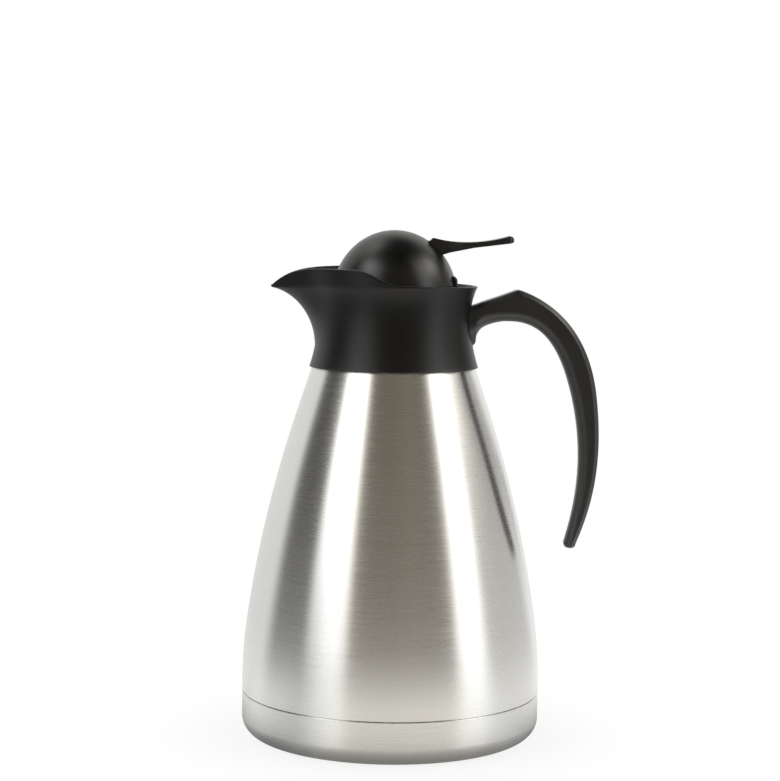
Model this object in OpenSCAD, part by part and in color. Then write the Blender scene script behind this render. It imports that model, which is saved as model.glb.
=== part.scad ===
// Thermal carafe with a flip lid.
// A double steel wall flask carries a spout collar, an open handle and a screw stopper with a sprung lid.
// Millimetres, +Z up, origin at the centre of the base, spout towards -X, handle towards +X.

/* [Flask body] */
// Largest outside radius of the steel body
body_r = 72.5; // [71:0.5:75]
// Height of the widest level above the base
belly_z = 26.3; // [24:0.1:30]
// Radius of the arc that the wall follows above the widest level
belly_arc_r = 214; // [200:1:230]
// Angle that the belly arc turns through
belly_turn = 7.83; // [7:0.01:9]
// Radius of the flatter arc of the flank
flank_arc_r = 586; // [560:1:620]
// Slope of the straight upper wall, from the vertical
flank_turn = 18.32; // [18:0.01:18.8]
// Height at which the sloping wall ends, inside the collar
shoulder_z = 186; // [183:0.5:189]
// Rounding where the wall meets the base
foot_round = 9; // [7:0.5:11]
// Width of the level ring that the base stands on
foot_ring_w = 6.5; // [5:0.5:8]
// Width of the stiffening bead pressed into the base
bead_w = 7; // [5:0.5:9]
// Depth of that bead
bead_depth = 0.9; // [0.5:0.1:1.4]
// How far the hidden outer bottom lies below the end of the wall's skirt
bottom_drop = 1; // [0.6:0.1:2]
// Height of that bottom's rim above the end of the skirt
bottom_rim = 3; // [2:0.5:4]
// Depth of the dimple in that bottom
dimple_h = 0.6; // [0.4:0.1:1]
// Radius of the hole in the dimple
dimple_hole_r = 1.2; // [0.8:0.1:1.6]
// Height of the joint line between base cup and outer shell
seam_z = 21.7; // [20:0.1:23.5]
// Width of that joint line
seam_gap = 0.3; // [0.2:0.05:0.5]
// Thickness of the steel sheet
sheet_t = 0.6; // [0.5:0.05:0.7]
// Space between the two walls of the body
vacuum_gap = 5; // [4:0.5:6]
// Space between the two walls of the neck
neck_gap = 1.3; // [1:0.1:1.5]
// Step from the sloping wall in to the steel neck
neck_step = 4.1; // [3.8:0.1:4.5]
// Height of the steel neck above the shoulder
neck_h = 15.6; // [15:0.1:17]
// Height of the floor of the inner flask
inner_floor_z = 15; // [14:0.5:17]
// Rounding where that floor meets the inner wall
inner_round = 9; // [7:0.5:11]

/* [Collar and spout] */
// How far the collar reaches down over the sloping wall
lip_cover = 6; // [5:0.5:7]
// How far the lower lip stands out from the sloping wall
lip_overhang = 1.4; // [1.2:0.1:2]
// Height of the collar from its lip to its rim
collar_h = 39.5; // [38:0.5:42]
// Height of the waist above the lip
waist_h = 25; // [23:0.5:27]
// How far the waist lies inside the top of the sloping wall
waist_in = 0.6; // [0.2:0.1:0.8]
// How far the rim stands out from the waist
rim_flare = 3.4; // [2.8:0.1:3.8]
// Wall of the collar's bowl and spout
bowl_wall = 2.2; // [1.8:0.1:2.6]
// Thickness of the ledge that rests on the steel neck
ledge_t = 2; // [1.8:0.1:2.4]
// Reach of the spout's tip beyond the rim
spout_out = 19.2; // [16:0.1:22]
// Rise of the spout's crest above the rim
spout_rise = 8.4; // [7:0.1:10]
// Drop of the spout's tip below the rim
tip_drop = 1.5; // [1:0.1:2]
// Half angle of the collar that the spout takes up
spout_spread = 55; // [50:1:60]
// How sharply the spout narrows towards its tip
spout_power = 4.1; // [3.2:0.1:4.5]
// How far in front of the axis the rim is highest
crest_out = 20; // [16:1:26]
// Height that the rim gains on its level part, from the back to the start of the spout
rim_climb = 1.2; // [0.4:0.1:1.6]

/* [Neck seals] */
// Thickness of the gasket between steel lip and collar
gasket_t = 1.2; // [1:0.1:1.5]
// Wall of the threaded sleeve of the neck ring
sleeve_wall = 1.3; // [1.2:0.1:1.6]
// Thickness of the neck ring's flange
ring_flange_t = 1.5; // [1.3:0.1:1.8]
// Thickness of the seal under the stopper
seal_t = 1.5; // [1.3:0.1:1.8]

/* [Screw thread] */
// Rise of the quick thread in one turn
thread_lead = 24; // [22:0.5:25]
// Number of thread starts
thread_starts = 4; // [4:1:4]
// Radial depth of a thread rib
thread_depth = 1.5; // [1.3:0.1:1.6]
// Width of a thread rib at its root
thread_root_w = 2.2; // [1.8:0.1:2.4]

/* [Stopper] */
// Wall of the stopper's barrel
barrel_wall = 2.2; // [1.8:0.1:2.6]
// How far the barrel hangs below the steel lip
barrel_drop = 14.6; // [13.6:0.1:15]
// Thickness of the barrel's floor
barrel_floor_t = 2; // [1.6:0.1:2.4]
// Radius of the pour hole
pour_hole_r = 9; // [7:0.5:10]
// Thickness of the stopper's flange
flange_t = 2; // [1.6:0.1:2.4]
// Height of the rim inside the barrel that centres the stopper's ring
spigot_h = 1; // [0.8:0.1:1.4]
// Space between the stopper's ring and the collar's bowl
moat_w = 7.9; // [7.5:0.1:8.5]
// Depth of the stopper's ring below the collar's rim
ring_drop = 0.4; // [0:0.1:0.8]
// Width of one pour window
window_w = 6.4; // [5:0.1:7.5]
// Height of the pour windows
window_h = 5.8; // [5:0.1:6.2]

/* [Lid] */
// Height from the dome's lower edge to its top
dome_h = 26.8; // [25:0.1:28]
// Vertical half axis of the dome
dome_half_h = 32.8; // [31:0.1:34]
// Wall of the dome
dome_wall = 2.2; // [2:0.1:2.4]
// Gap between the stopper's ring and the dome
dome_gap = 0.3; // [0.3:0.05:0.4]
// Thickness of the plate that closes the dome
base_t = 2.2; // [2:0.1:2.6]
// Radius of the plug's stem
stem_r = 4; // [3.5:0.1:5]
// Thickness of the plug's plate
plug_t = 2.4; // [2:0.1:3]
// Thickness of the lid's gasket
lid_gasket_t = 1.8; // [1.5:0.1:2.2]
// How far the gasket laps over the edge of the pour hole
gasket_lap = 3.6; // [3:0.1:4.5]

/* [Hinge] */
// Height of the hinge's axis above the collar's rim
hinge_rise = 2.7; // [2.4:0.1:3]
// Gap between the hinge's axis and the plate that closes the dome
plate_gap = 0.4; // [0.3:0.1:0.8]
// Radius of the hinge pin
pin_r = 1; // [0.9:0.05:1.1]
// Radius of the hinge knuckles
knuckle_r = 2; // [1.8:0.05:2.1]
// Length of one knuckle
knuckle_w = 2.6; // [2.4:0.1:3]
// Side gap between knuckles
knuckle_gap = 0.3; // [0.3:0.05:0.4]
// Room for the spring between the knuckles
spring_w = 5.4; // [5.3:0.1:6]
// Wire of the spring
wire_d = 0.6; // [0.5:0.05:0.6]

/* [Lever] */
// Width of the thumb lever
lever_w = 15; // [12:0.5:18]
// Drop of the lever's screw below the dome's top
lever_drop = 7.6; // [7:0.1:8]
// Reach of the lever's tip beyond the dome
lever_reach = 26.9; // [24:0.1:28]
// Thickness of the lever at its tip
lever_tip_t = 3.2; // [2.8:0.1:4]
// Rounding of the lever's corners seen from above
lever_corner = 3; // [2:0.5:4]
// Radius of the lever screw's shank
lever_screw_r = 1.25; // [1.1:0.05:1.4]

/* [Handle] */
// Half the width of the handle at the collar
grip_half_w = 8; // [7:0.5:9]
// Half the width of the handle at its free end
grip_tip_half_w = 6.5; // [5.5:0.5:7.5]
// Reach of the handle beyond the waist
grip_reach = 63.2; // [60:0.5:66]
// Drop of the handle's free end below the rim
grip_drop = 128; // [118:1:134]
// Width of the bevel along the handle's outer edges
grip_bevel = 2; // [1.2:0.1:2.4]
// Rounding along the handle's inner edges
grip_round = 3.2; // [2:0.1:3.6]
// Height over which the handle's root narrows to its lower point
grip_point_h = 9; // [6:0.5:11]
// Length of the rounded nose at the handle's free end
grip_nose = 2.4; // [1.5:0.1:3]
// Radius of the handle screws' shanks
grip_screw_r = 1.25; // [1.1:0.05:1.3]
// How far the handle screws reach beyond the waist
grip_screw_in = 4; // [3:0.1:4.5]
// Side offset of each handle screw
grip_screw_y = 4.5; // [4:0.1:5]

/* [Hidden] */

$fn = 96;
fit = 0.05;
pin_fit = 0.04;
grip_fit = 0.12;

// Centres and ends of the two arcs of the body's wall
belly_c = [body_r - belly_arc_r, belly_z];
belly_e = belly_c + belly_arc_r * [cos(belly_turn), sin(belly_turn)];
flank_c = belly_e - flank_arc_r * [cos(belly_turn), sin(belly_turn)];
flank_e = flank_c + flank_arc_r * [cos(flank_turn), sin(flank_turn)];

// Neck, from the end of the sloping wall
shoulder_r = flask_r(shoulder_z);
neck_r = shoulder_r - neck_step;
neck_top_z = shoulder_z + neck_h - sheet_t;
lip_z = shoulder_z + neck_h;
inner_neck_r = neck_r - sheet_t - neck_gap;
bore_r = inner_neck_r - sheet_t;
joggle_clear = 0.1;
skirt_r = body_r - sheet_t - joggle_clear;
skirt_z = 11;
bottom_z = skirt_z - bottom_drop;
panel_r = body_r - foot_round - foot_ring_w - bead_w;
weld_z = inner_floor_z + inner_round;
inner_r = flask_r(weld_z) - sheet_t - vacuum_gap;

// Collar
collar_z = shoulder_z - lip_cover;
waist_z = collar_z + waist_h;
rim_z = collar_z + collar_h;
lip_r = flask_r(collar_z) + lip_overhang;
waist_r = shoulder_r - waist_in;
rim_r = waist_r + rim_flare;
lower_arc_r = arc_radius(waist_h, lip_r - waist_r);
upper_arc_r = arc_radius(collar_h - waist_h, rim_flare);
ledge_z = lip_z + gasket_t;
floor_z = ledge_z + ledge_t;
ledge_r = bore_r + 0.2;
collar_clear = 0.3;

// Neck ring and its thread
sleeve_r = bore_r - 0.4;
root_r = sleeve_r - sleeve_wall;
crest_r = root_r - thread_depth;
ring_top_z = floor_z + ring_flange_t;
thread_z0 = lip_z - 10.6;
thread_rise = 11;

// Stopper
barrel_r = crest_r - 0.4;
barrel_in_r = barrel_r - barrel_wall;
barrel_z = lip_z - barrel_drop;
barrel_floor_z = barrel_z + barrel_floor_t;
flange_z = ring_top_z + seal_t;
seat_z = flange_z + flange_t;
ring_r = rim_r - bowl_wall - moat_w;
ring_in_r = ring_r - 2.2;
ring_z = rim_z - ring_drop;
collar_in_r = ring_in_r - 0.1;

// Lid, with its hinge at the rear edge of the dome
dome_z = ring_z + dome_gap;
dome_top = dome_z + dome_h;
dome_c = dome_top - dome_half_h;
dome_half_w = ring_r + 0.1;
hinge_x = ring_r - knuckle_r - 0.1;
hinge_z = rim_z + hinge_rise;
plate_z = hinge_z + plate_gap;
base_top = plate_z + base_t;
base_r = dome_in_r(base_top) - fit;
gasket_r = pour_hole_r + gasket_lap;
gasket_z = barrel_floor_z + 0.1;
plug_z = gasket_z + lid_gasket_t;
inner_knuckle_y = spring_w / 2 + 0.2;
outer_knuckle_y = inner_knuckle_y + knuckle_w + knuckle_gap;
pin_len = 2 * (outer_knuckle_y + knuckle_w);
hinge_room_y = outer_knuckle_y + knuckle_w + 0.5;

// Spring
coil_r = pin_r + 0.25 + wire_d / 2;
turns = 4.25;
coil_w = spring_w - wire_d - 0.4;
groove_depth = 1.15;

// Lever
lever_z = dome_top - lever_drop;
lever_head_r = 2.3;
lever_tip_x = dome_half_w + lever_reach;

// Handle
grip_screw_z = ledge_z - 2.1;

// Radius of an arc that leaves the vertical and moves sideways by d over the height h
function arc_radius(h, d) = (h * h + d * d) / (2 * d);

// Points along an arc from angle a0 to angle a1 in n steps
function arc(c, r, a0, a1, n) =
    [for (i = [0:n]) let(a = a0 + (a1 - a0) * i / n) c + r * [cos(a), sin(a)]];

// Point on a cubic curve
function bez(p, t) = pow(1 - t, 3) * p[0] + 3 * pow(1 - t, 2) * t * p[1] + 3 * (1 - t) * t * t * p[2]
    + pow(t, 3) * p[3];

// Direction of a cubic curve
function bez_dir(p, t) =
    let(d = pow(1 - t, 2) * (p[1] - p[0]) + 2 * (1 - t) * t * (p[2] - p[1]) + t * t * (p[3] - p[2]))
    d / norm(d);

// Outside radius of the steel body at height z
function flask_r(z) = z < belly_z ? body_r
    : z < belly_e[1] ? belly_c[0] + sqrt(pow(belly_arc_r, 2) - pow(z - belly_c[1], 2))
    : z < flank_e[1] ? flank_c[0] + sqrt(pow(flank_arc_r, 2) - pow(z - flank_c[1], 2))
    : flank_e[0] - tan(flank_turn) * (z - flank_e[1]);

// Outline of the body between two heights, moved inwards by t
function wall_line(z0, z1, t, n) = [for (i = [0:n]) let(z = z0 + (z1 - z0) * i / n) [flask_r(z) - t, z]];

// Outside radius of the collar at height z, away from the spout
function collar_r(z) = z < waist_z ? waist_r + lower_arc_r - sqrt(pow(lower_arc_r, 2) - pow(waist_z - z, 2))
    : z < rim_z ? waist_r + upper_arc_r - sqrt(pow(upper_arc_r, 2) - pow(z - waist_z, 2))
    : rim_r + 0.21 * (z - rim_z);

// Inside radius of the dome at height z
function dome_in_r(z) =
    (dome_half_w - dome_wall) * sqrt(1 - pow((z - dome_c) / (dome_half_h - dome_wall), 2));

module lathe(points) {
    rotate_extrude() polygon(points);
}

// Solid of revolution under an ellipse, cut level at z0
module egg(half_w, half_h, z0) {
    a0 = asin((z0 - dome_c) / half_h);
    lathe(concat([[0, z0]], [for (i = [0:24]) let(a = a0 + (90 - a0) * i / 24)
        [max(half_w * cos(a), 0), dome_c + half_h * sin(a)]]));
}

// Base cup with a pressed bead that leaves a level middle panel and a level outer ring
module base_cup() {
    top = seam_z - seam_gap / 2;
    ring_in = panel_r + bead_w;
    corner = [body_r - foot_round, foot_round];
    color([0.74, 0.73, 0.71]) lathe(concat(
        [[0, 0], [panel_r, 0], [panel_r + 1.5, bead_depth], [ring_in - 1.5, bead_depth], [ring_in, 0]],
        arc(corner, foot_round, -90, 0, 12),
        [[body_r, top], [body_r - sheet_t, top]],
        arc(corner, foot_round - sheet_t, 0, -90, 12),
        [[ring_in + 0.2, sheet_t], [ring_in - 1.3, bead_depth + sheet_t],
         [panel_r + 1.3, bead_depth + sheet_t], [panel_r - 0.2, sheet_t], [0, sheet_t]]));
}

// Outer wall with a skirt that hides in the base cup and a plain neck that hides in the collar
module outer_shell() {
    low = seam_z + seam_gap / 2;
    color([0.74, 0.73, 0.71]) lathe(concat(
        [[skirt_r, skirt_z], [skirt_r, low]],
        wall_line(low, shoulder_z, 0, 30),
        [[shoulder_r - 1, shoulder_z + 1.2], [neck_r + 0.8, shoulder_z + 2], [neck_r, shoulder_z + 3],
         [neck_r, neck_top_z], [neck_r - sheet_t, neck_top_z], [neck_r - sheet_t, shoulder_z + 2.7],
         [neck_r + 0.5, shoulder_z + 1.5], [shoulder_r - sheet_t - 0.9, shoulder_z + 0.6]],
        wall_line(shoulder_z - 0.2, low + sheet_t, sheet_t, 30),
        [[skirt_r - sheet_t, low + sheet_t], [skirt_r - sheet_t, skirt_z]]));
}

// Outer bottom, welded inside the skirt, with a dimple where the air was drawn out
module shell_bottom() {
    edge = skirt_r - sheet_t - fit;
    z = bottom_z;
    top = skirt_z + bottom_rim;
    color([0.66, 0.65, 0.63]) difference() {
        lathe([[0, z + dimple_h], [4, z + dimple_h], [6, z], [edge - 3, z], [edge, z + 2.6], [edge, top],
               [edge - sheet_t, top], [edge - sheet_t, z + 3], [edge - 3.2, z + sheet_t],
               [6.2, z + sheet_t], [4.2, z + dimple_h + sheet_t], [0, z + dimple_h + sheet_t]]);
        cylinder(r = dimple_hole_r, h = 3 * skirt_z, $fn = 32);
    }
}

// Solder pellet that closes the dimple
module vacuum_seal() {
    color([0.45, 0.45, 0.47]) union() {
        translate([0, 0, bottom_z + dimple_h - 1]) cylinder(r = 3, h = 1, $fn = 48);
        translate([0, 0, bottom_z]) cylinder(r = dimple_hole_r - fit, h = 1.2, $fn = 32);
    }
}

// Gas absorber pill between the walls
module getter() {
    color([0.3, 0.3, 0.32]) translate([22, 0, bottom_z + sheet_t]) cylinder(r = 6, h = 1.6, $fn = 48);
}

// Inner wall with the rolled lip that closes the top of the vacuum space
module inner_flask() {
    blend_z = shoulder_z - 14;
    d = sheet_t + vacuum_gap;
    color([0.8, 0.79, 0.77]) lathe(concat(
        wall_line(weld_z, blend_z, d, 24),
        [[inner_neck_r, shoulder_z - 1], [inner_neck_r, neck_top_z], [neck_r, neck_top_z], [neck_r, lip_z],
         [bore_r, lip_z], [bore_r, shoulder_z - 1.2]],
        wall_line(blend_z, weld_z, d + sheet_t, 24)));
}

// Floor of the inner flask, welded edge to edge with its wall
module inner_bottom() {
    c = [inner_r - inner_round, weld_z];
    color([0.8, 0.79, 0.77]) lathe(concat(
        [[0, inner_floor_z]],
        arc(c, inner_round, -90, 0, 10),
        arc(c, inner_round - sheet_t, 0, -90, 10),
        [[0, inner_floor_z + sheet_t]]));
}

// Silicone ring between the steel lip and the collar's ledge
module neck_gasket() {
    color([0.86, 0.86, 0.84]) lathe([[bore_r + 0.3, lip_z], [neck_r - 0.2, lip_z],
                                     [neck_r - 0.2, ledge_z], [bore_r + 0.3, ledge_z]]);
}

// Line along the underside of the spout, from the waist to the tip
tip_x = rim_r + spout_out;
tip_z = rim_z - tip_drop;
under = [[collar_r(collar_z + 10), collar_z + 10], [waist_r + 1.4, waist_z - 2],
         [waist_r + 10 / 19.2 * spout_out, rim_z - 4], [tip_x, tip_z]];

// Share of the spout's reach at the angle a from the spout's middle; soft is the rounding of its keel
function beak(a, soft) =
    let(q = (sqrt(a * a + soft * soft) - soft) / (sqrt(pow(spout_spread, 2) + soft * soft) - soft))
    q < 1 ? pow(1 - q, spout_power) : 0;

// Height of the rim where the wall stands at x
crest_x = -crest_out;
level_x = 3;
function rim_at(x) = x > level_x ? rim_z + rim_climb * max(rim_r - x, 0) / (rim_r - level_x)
    : x > crest_x ? rim_z + rim_climb
        + (spout_rise - rim_climb) * (0.5 + 0.5 * cos(180 * (x - crest_x) / (level_x - crest_x)))
    : rim_z + spout_rise - (spout_rise + 0.1) * pow(min((crest_x - x) / (tip_x + crest_x), 1), 4.5);

// Angles of the collar's columns, closer together at the spout, and the heights of its rows
half_angles = [0, 2, 5, 9, 15, 22, 30, 38, 47, 55, 66, 78, 90, 102, 114, 126, 138, 150, 160, 170];
columns = concat(half_angles, [180], [for (i = [len(half_angles) - 1:-1:1]) 360 - half_angles[i]]);
function fold(a) = a > 180 ? 360 - a : a;
foot_rows = [0, 0.35, 0.7];
under_rows = [0, 0.2, 0.38, 0.55, 0.7, 0.82, 0.92, 1];
soft_keel = 22;

// Outside of the collar: radius at the angle a, the height z and the underside's parameter t
function out_r(a, z, t) = let(p = bez(under, t))
    collar_r(z) + max(p[0] - collar_r(p[1]), 0) * beak(a, soft_keel * (1 - t) + 1);

// Inside of the bowl, from the underside moved inwards by the wall
function in_line(t) = let(d = bez_dir(under, t), w = bowl_wall - 1 * pow(t, 4))
    bez(under, t) + w * [-d[1], d[0]] - [1.8 * pow(t, 3), 0];
function in_r(a, z, t) = collar_r(z) - bowl_wall
    + max(in_line(t)[0] - collar_r(in_line(t)[1]) + bowl_wall, 0) * beak(a, soft_keel * (1 - t) + 1);

// Height of the rim at the angle a, found by walking to the wall that it stands on
function rim_height(a, z, n) = n == 0 ? z
    : rim_height(a, max(rim_at(-out_r(a, z, 1) * cos(a)), tip_z + 1.3), n - 1);

// Parameter at which the inside line reaches the bowl's floor
function floor_t(lo, hi, n) = n == 0 ? hi
    : in_line((lo + hi) / 2)[1] > floor_z + 0.5 ? floor_t(lo, (lo + hi) / 2, n - 1)
    : floor_t((lo + hi) / 2, hi, n - 1);
t_floor = floor_t(0, 1, 20);
in_rows = [1, 0.9, 0.78, 0.62, 0.45, 0.25, 0];

function ring_of(radii, heights) = [for (i = [0:len(columns) - 1])
    [-radii[i] * cos(columns[i]), -radii[i] * sin(columns[i]), heights[i]]];
function level_ring(z, t) = ring_of([for (a = columns) out_r(fold(a), z, t)], [for (a = columns) z]);
function upper_ring(u) = let(h = [for (a = columns) tip_z + u * (rim_height(fold(a), rim_z, 6) - tip_z)])
    ring_of([for (i = [0:len(columns) - 1]) out_r(fold(columns[i]), h[i], 1)], h);
function inner_upper_ring(u) = let(z1 = in_line(1)[1],
    h = [for (a = columns) z1 + u * (rim_height(fold(a), rim_z, 6) - z1)])
    ring_of([for (i = [0:len(columns) - 1]) in_r(fold(columns[i]), h[i], 1)], h);
function inner_level_ring(s) = let(t = t_floor + (1 - t_floor) * s, z = in_line(t)[1])
    ring_of([for (a = columns) in_r(fold(a), z, t)], [for (a = columns) z]);
floor_ring = ring_of([for (a = columns) in_r(fold(a), floor_z, t_floor)], [for (a = columns) floor_z]);

// Closed skin through a list of rings, with a fan at each end
module skin(rings) {
    n = len(rings[0]);
    m = len(rings);
    points = concat([for (r = rings) each r], [[0, 0, rings[0][0][2]], [0, 0, rings[m - 1][0][2]]]);
    faces = concat(
        [for (j = [0:m - 2], i = [0:n - 1]) [j * n + i, (j + 1) * n + (i + 1) % n, j * n + (i + 1) % n]],
        [for (j = [0:m - 2], i = [0:n - 1]) [j * n + i, (j + 1) * n + i, (j + 1) * n + (i + 1) % n]],
        [for (i = [0:n - 1]) [m * n, i, (i + 1) % n]],
        [for (i = [0:n - 1]) [m * n + 1, (m - 1) * n + (i + 1) % n, (m - 1) * n + i]]);
    polyhedron(points, faces, convexity = 6);
}

// Collar with spout: the skin outside, turned room for the steel neck inside
module spout_collar() {
    color([0.09, 0.09, 0.1]) difference() {
        skin(concat(
            [for (s = foot_rows) level_ring(collar_z + 10 * s, 0)],
            [for (t = under_rows) level_ring(bez(under, t)[1], t)],
            [upper_ring(0.5), upper_ring(1), inner_upper_ring(1), inner_upper_ring(0.5)],
            [for (s = in_rows) inner_level_ring(s)],
            [floor_ring]));
        lathe([[0, collar_z - 1], [flask_r(collar_z - 1) + collar_clear, collar_z - 1],
               [shoulder_r + collar_clear, shoulder_z], [neck_r + collar_clear + 1, shoulder_z + 3],
               [neck_r + collar_clear + 1, ledge_z], [ledge_r, ledge_z], [ledge_r, floor_z + 1],
               [0, floor_z + 1]]);
        for (y = [-grip_screw_y, grip_screw_y]) grip_screw_room(y);
    }
}

// Room for a handle screw: a sunk seat for its head and a hole for its shank
head_in_x = neck_r + 0.9;
head_x = head_in_x + 1.2;
screw_end_x = waist_r + grip_screw_in;
module grip_screw_room(y) {
    translate([0, y, grip_screw_z]) rotate([0, 90, 0])
        cylinder(r = grip_screw_r + fit, h = screw_end_x + 0.3, $fn = 32);
    translate([0, y, grip_screw_z]) rotate([0, 90, 0])
        cylinder(r = 1.8 + fit, h = head_x + 0.1, $fn = 32);
}

module handle_screws() {
    color([0.7, 0.7, 0.72]) for (y = [-grip_screw_y, grip_screw_y]) translate([head_in_x, y, grip_screw_z])
        rotate([0, 90, 0]) difference() {
            union() {
                cylinder(r = 1.8, h = 1.2, $fn = 32);
                cylinder(r = grip_screw_r, h = screw_end_x - head_in_x, $fn = 32);
            }
            translate([-0.9, -0.25, -1]) cube([1.8, 0.5, 1.5]);
            translate([-0.25, -0.9, -1]) cube([0.5, 1.8, 1.5]);
        }
}

// One thread rib that climbs with the lead from the height z0 at the angle a0; its root is sunk in the wall
module thread_rib(root, crest, a0, z0, rise) {
    span = 360 * rise / thread_lead;
    n = 14;
    half = [thread_root_w / 2, thread_root_w / 2 - 0.35];
    points = [for (i = [0:n]) let(a = a0 + span * i / n, z = z0 + rise * i / n)
        each [for (p = [[root, -half[0]], [crest, -half[1]], [crest, half[1]], [root, half[0]]])
            [p[0] * cos(a), p[0] * sin(a), z + p[1]]]];
    turned = crest < root;
    quads = [for (i = [0:n - 1], k = [0:3]) let(a = 4 * i + k, b = 4 * i + (k + 1) % 4)
        each [[a, b, b + 4], [a, b + 4, a + 4]]];
    ends = [[0, 2, 1], [0, 3, 2], [4 * n, 4 * n + 1, 4 * n + 2], [4 * n, 4 * n + 2, 4 * n + 3]];
    faces = concat(quads, ends);
    polyhedron(points, turned ? [for (f = faces) [f[0], f[2], f[1]]] : faces, convexity = 4);
}

// Threaded ring that clamps the collar to the steel neck; its lower bead snaps under the neck
module neck_ring() {
    bead_z = shoulder_z - 4.4;
    color([0.16, 0.16, 0.17]) union() {
        lathe([[root_r, bead_z], [sleeve_r, bead_z],
               [bore_r + 0.5, bead_z + 0.8], [bore_r + 0.5, bead_z + 1.4],
               [sleeve_r, bead_z + 2.2], [sleeve_r, floor_z], [waist_r - bowl_wall - 0.5, floor_z],
               [waist_r - bowl_wall - 0.5, ring_top_z], [root_r, ring_top_z]]);
        for (i = [0:thread_starts - 1])
            thread_rib(root_r + 0.5, crest_r, i * 360 / thread_starts, thread_z0, thread_rise);
    }
}

// Seal that the stopper's flange presses on the neck ring
module stopper_seal() {
    color([0.86, 0.86, 0.84]) lathe([[barrel_r + 0.5, ring_top_z], [ring_r - 0.3, ring_top_z],
                                     [ring_r - 0.3, flange_z], [barrel_r + 0.5, flange_z]]);
}

// Threaded barrel with the pour hole in its floor and the flange above the seal
module stopper_body() {
    male_rise = 8.5;
    color([0.12, 0.12, 0.13]) union() {
        lathe([[pour_hole_r, barrel_z], [barrel_r - 1, barrel_z],
               [barrel_r, barrel_z + 1], [barrel_r, flange_z],
               [ring_r, flange_z], [ring_r, seat_z], [collar_in_r, seat_z], [collar_in_r, seat_z + spigot_h],
               [barrel_in_r, seat_z + spigot_h], [barrel_in_r, barrel_floor_z],
               [pour_hole_r, barrel_floor_z]]);
        for (i = [0:thread_starts - 1])
            thread_rib(barrel_r - 0.5, root_r - 0.4, (i + 0.5) * 360 / thread_starts,
                       thread_z0 + 1, male_rise);
    }
}

// Ring between the stopper and the dome, with pour windows in front and the hinge lugs behind
module stopper_ring() {
    room = inner_knuckle_y + knuckle_w + knuckle_gap;
    window_z = seat_z + spigot_h + 0.4;
    color([0.1, 0.1, 0.11]) difference() {
        union() {
            lathe([[ring_in_r, seat_z], [ring_r, seat_z], [ring_r, ring_z - 0.6], [ring_r - 0.6, ring_z],
                   [ring_in_r, ring_z]]);
            for (y = [-outer_knuckle_y - knuckle_w, outer_knuckle_y]) {
                translate([hinge_x, y, hinge_z]) rotate([-90, 0, 0])
                    cylinder(r = knuckle_r, h = knuckle_w, $fn = 48);
                translate([hinge_x - knuckle_r, y, ring_z - 6])
                    cube([2 * knuckle_r, knuckle_w, hinge_z - ring_z + 6]);
            }
        }
        translate([hinge_x - 6, -room, hinge_z - knuckle_r - 0.5]) cube([12, 2 * room, 8]);
        translate([hinge_x, -room - 9, hinge_z]) rotate([-90, 0, 0])
            cylinder(r = pin_r + pin_fit, h = 2 * room + 18);
        for (a = [-28, 0, 28]) rotate([0, 0, a])
            translate([-ring_r - 1, -window_w / 2, window_z]) cube([8, window_w, window_h]);
        translate([ring_r - groove_depth, -coil_w / 2 - 0.5, hinge_z - 9]) cube([4, 1, 10]);
    }
}

module hinge_pin() {
    color([0.75, 0.75, 0.77]) translate([hinge_x, -pin_len / 2, hinge_z]) rotate([-90, 0, 0])
        cylinder(r = pin_r, h = pin_len);
}

// Route of the spring's wire: a leg in the ring's groove, the coil round the pin, a leg on the lid's plate
coil_steps = 34;
spring_path = concat(
    [[hinge_x + coil_r, -coil_w / 2, hinge_z - 8], [hinge_x + coil_r, -coil_w / 2, hinge_z - 4]],
    [for (i = [0:coil_steps]) let(a = 360 * turns * i / coil_steps)
        [hinge_x + coil_r * cos(a), -coil_w / 2 + coil_w * i / coil_steps, hinge_z + coil_r * sin(a)]],
    [[hinge_x - 1.6, coil_w / 2, hinge_z + coil_r + 0.2],
     [base_r - 2.6, coil_w / 2, base_top + wire_d / 2 + 0.15],
     [base_r - 9, coil_w / 2, base_top + wire_d / 2 + 0.15]]);
coil_gap = min([for (i = [0:8], k = [-1, 0, 1])
    norm(spring_path[2 + i] - spring_path[2 + i + 8 + k])]) - wire_d;
echo(spring_least_gap = coil_gap);

// Tube with six sides along a route that stays near a plane square to Y
module wire(path, d) {
    n = len(path);
    function way(i) = let(v = path[min(i + 1, n - 1)] - path[max(i - 1, 0)]) v / norm(v);
    points = [for (i = [0:n - 1])
        let(w = way(i), u = cross([0, 1, 0], w) / norm(cross([0, 1, 0], w)), v = cross(w, u))
        each [for (k = [0:5]) path[i] + d / 2 * (cos(60 * k) * u + sin(60 * k) * v)]];
    faces = concat(
        [for (i = [0:n - 2], k = [0:5]) let(a = 6 * i + k, b = 6 * i + (k + 1) % 6)
            each [[a, b + 6, b], [a, a + 6, b + 6]]],
        [for (k = [1:4]) [0, k, k + 1]],
        [for (k = [1:4]) [6 * n - 6, 6 * n - 6 + k + 1, 6 * n - 6 + k]]);
    polyhedron(points, faces, convexity = 8);
}

module lid_spring() {
    color([0.78, 0.78, 0.8]) wire(spring_path, wire_d);
}

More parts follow.
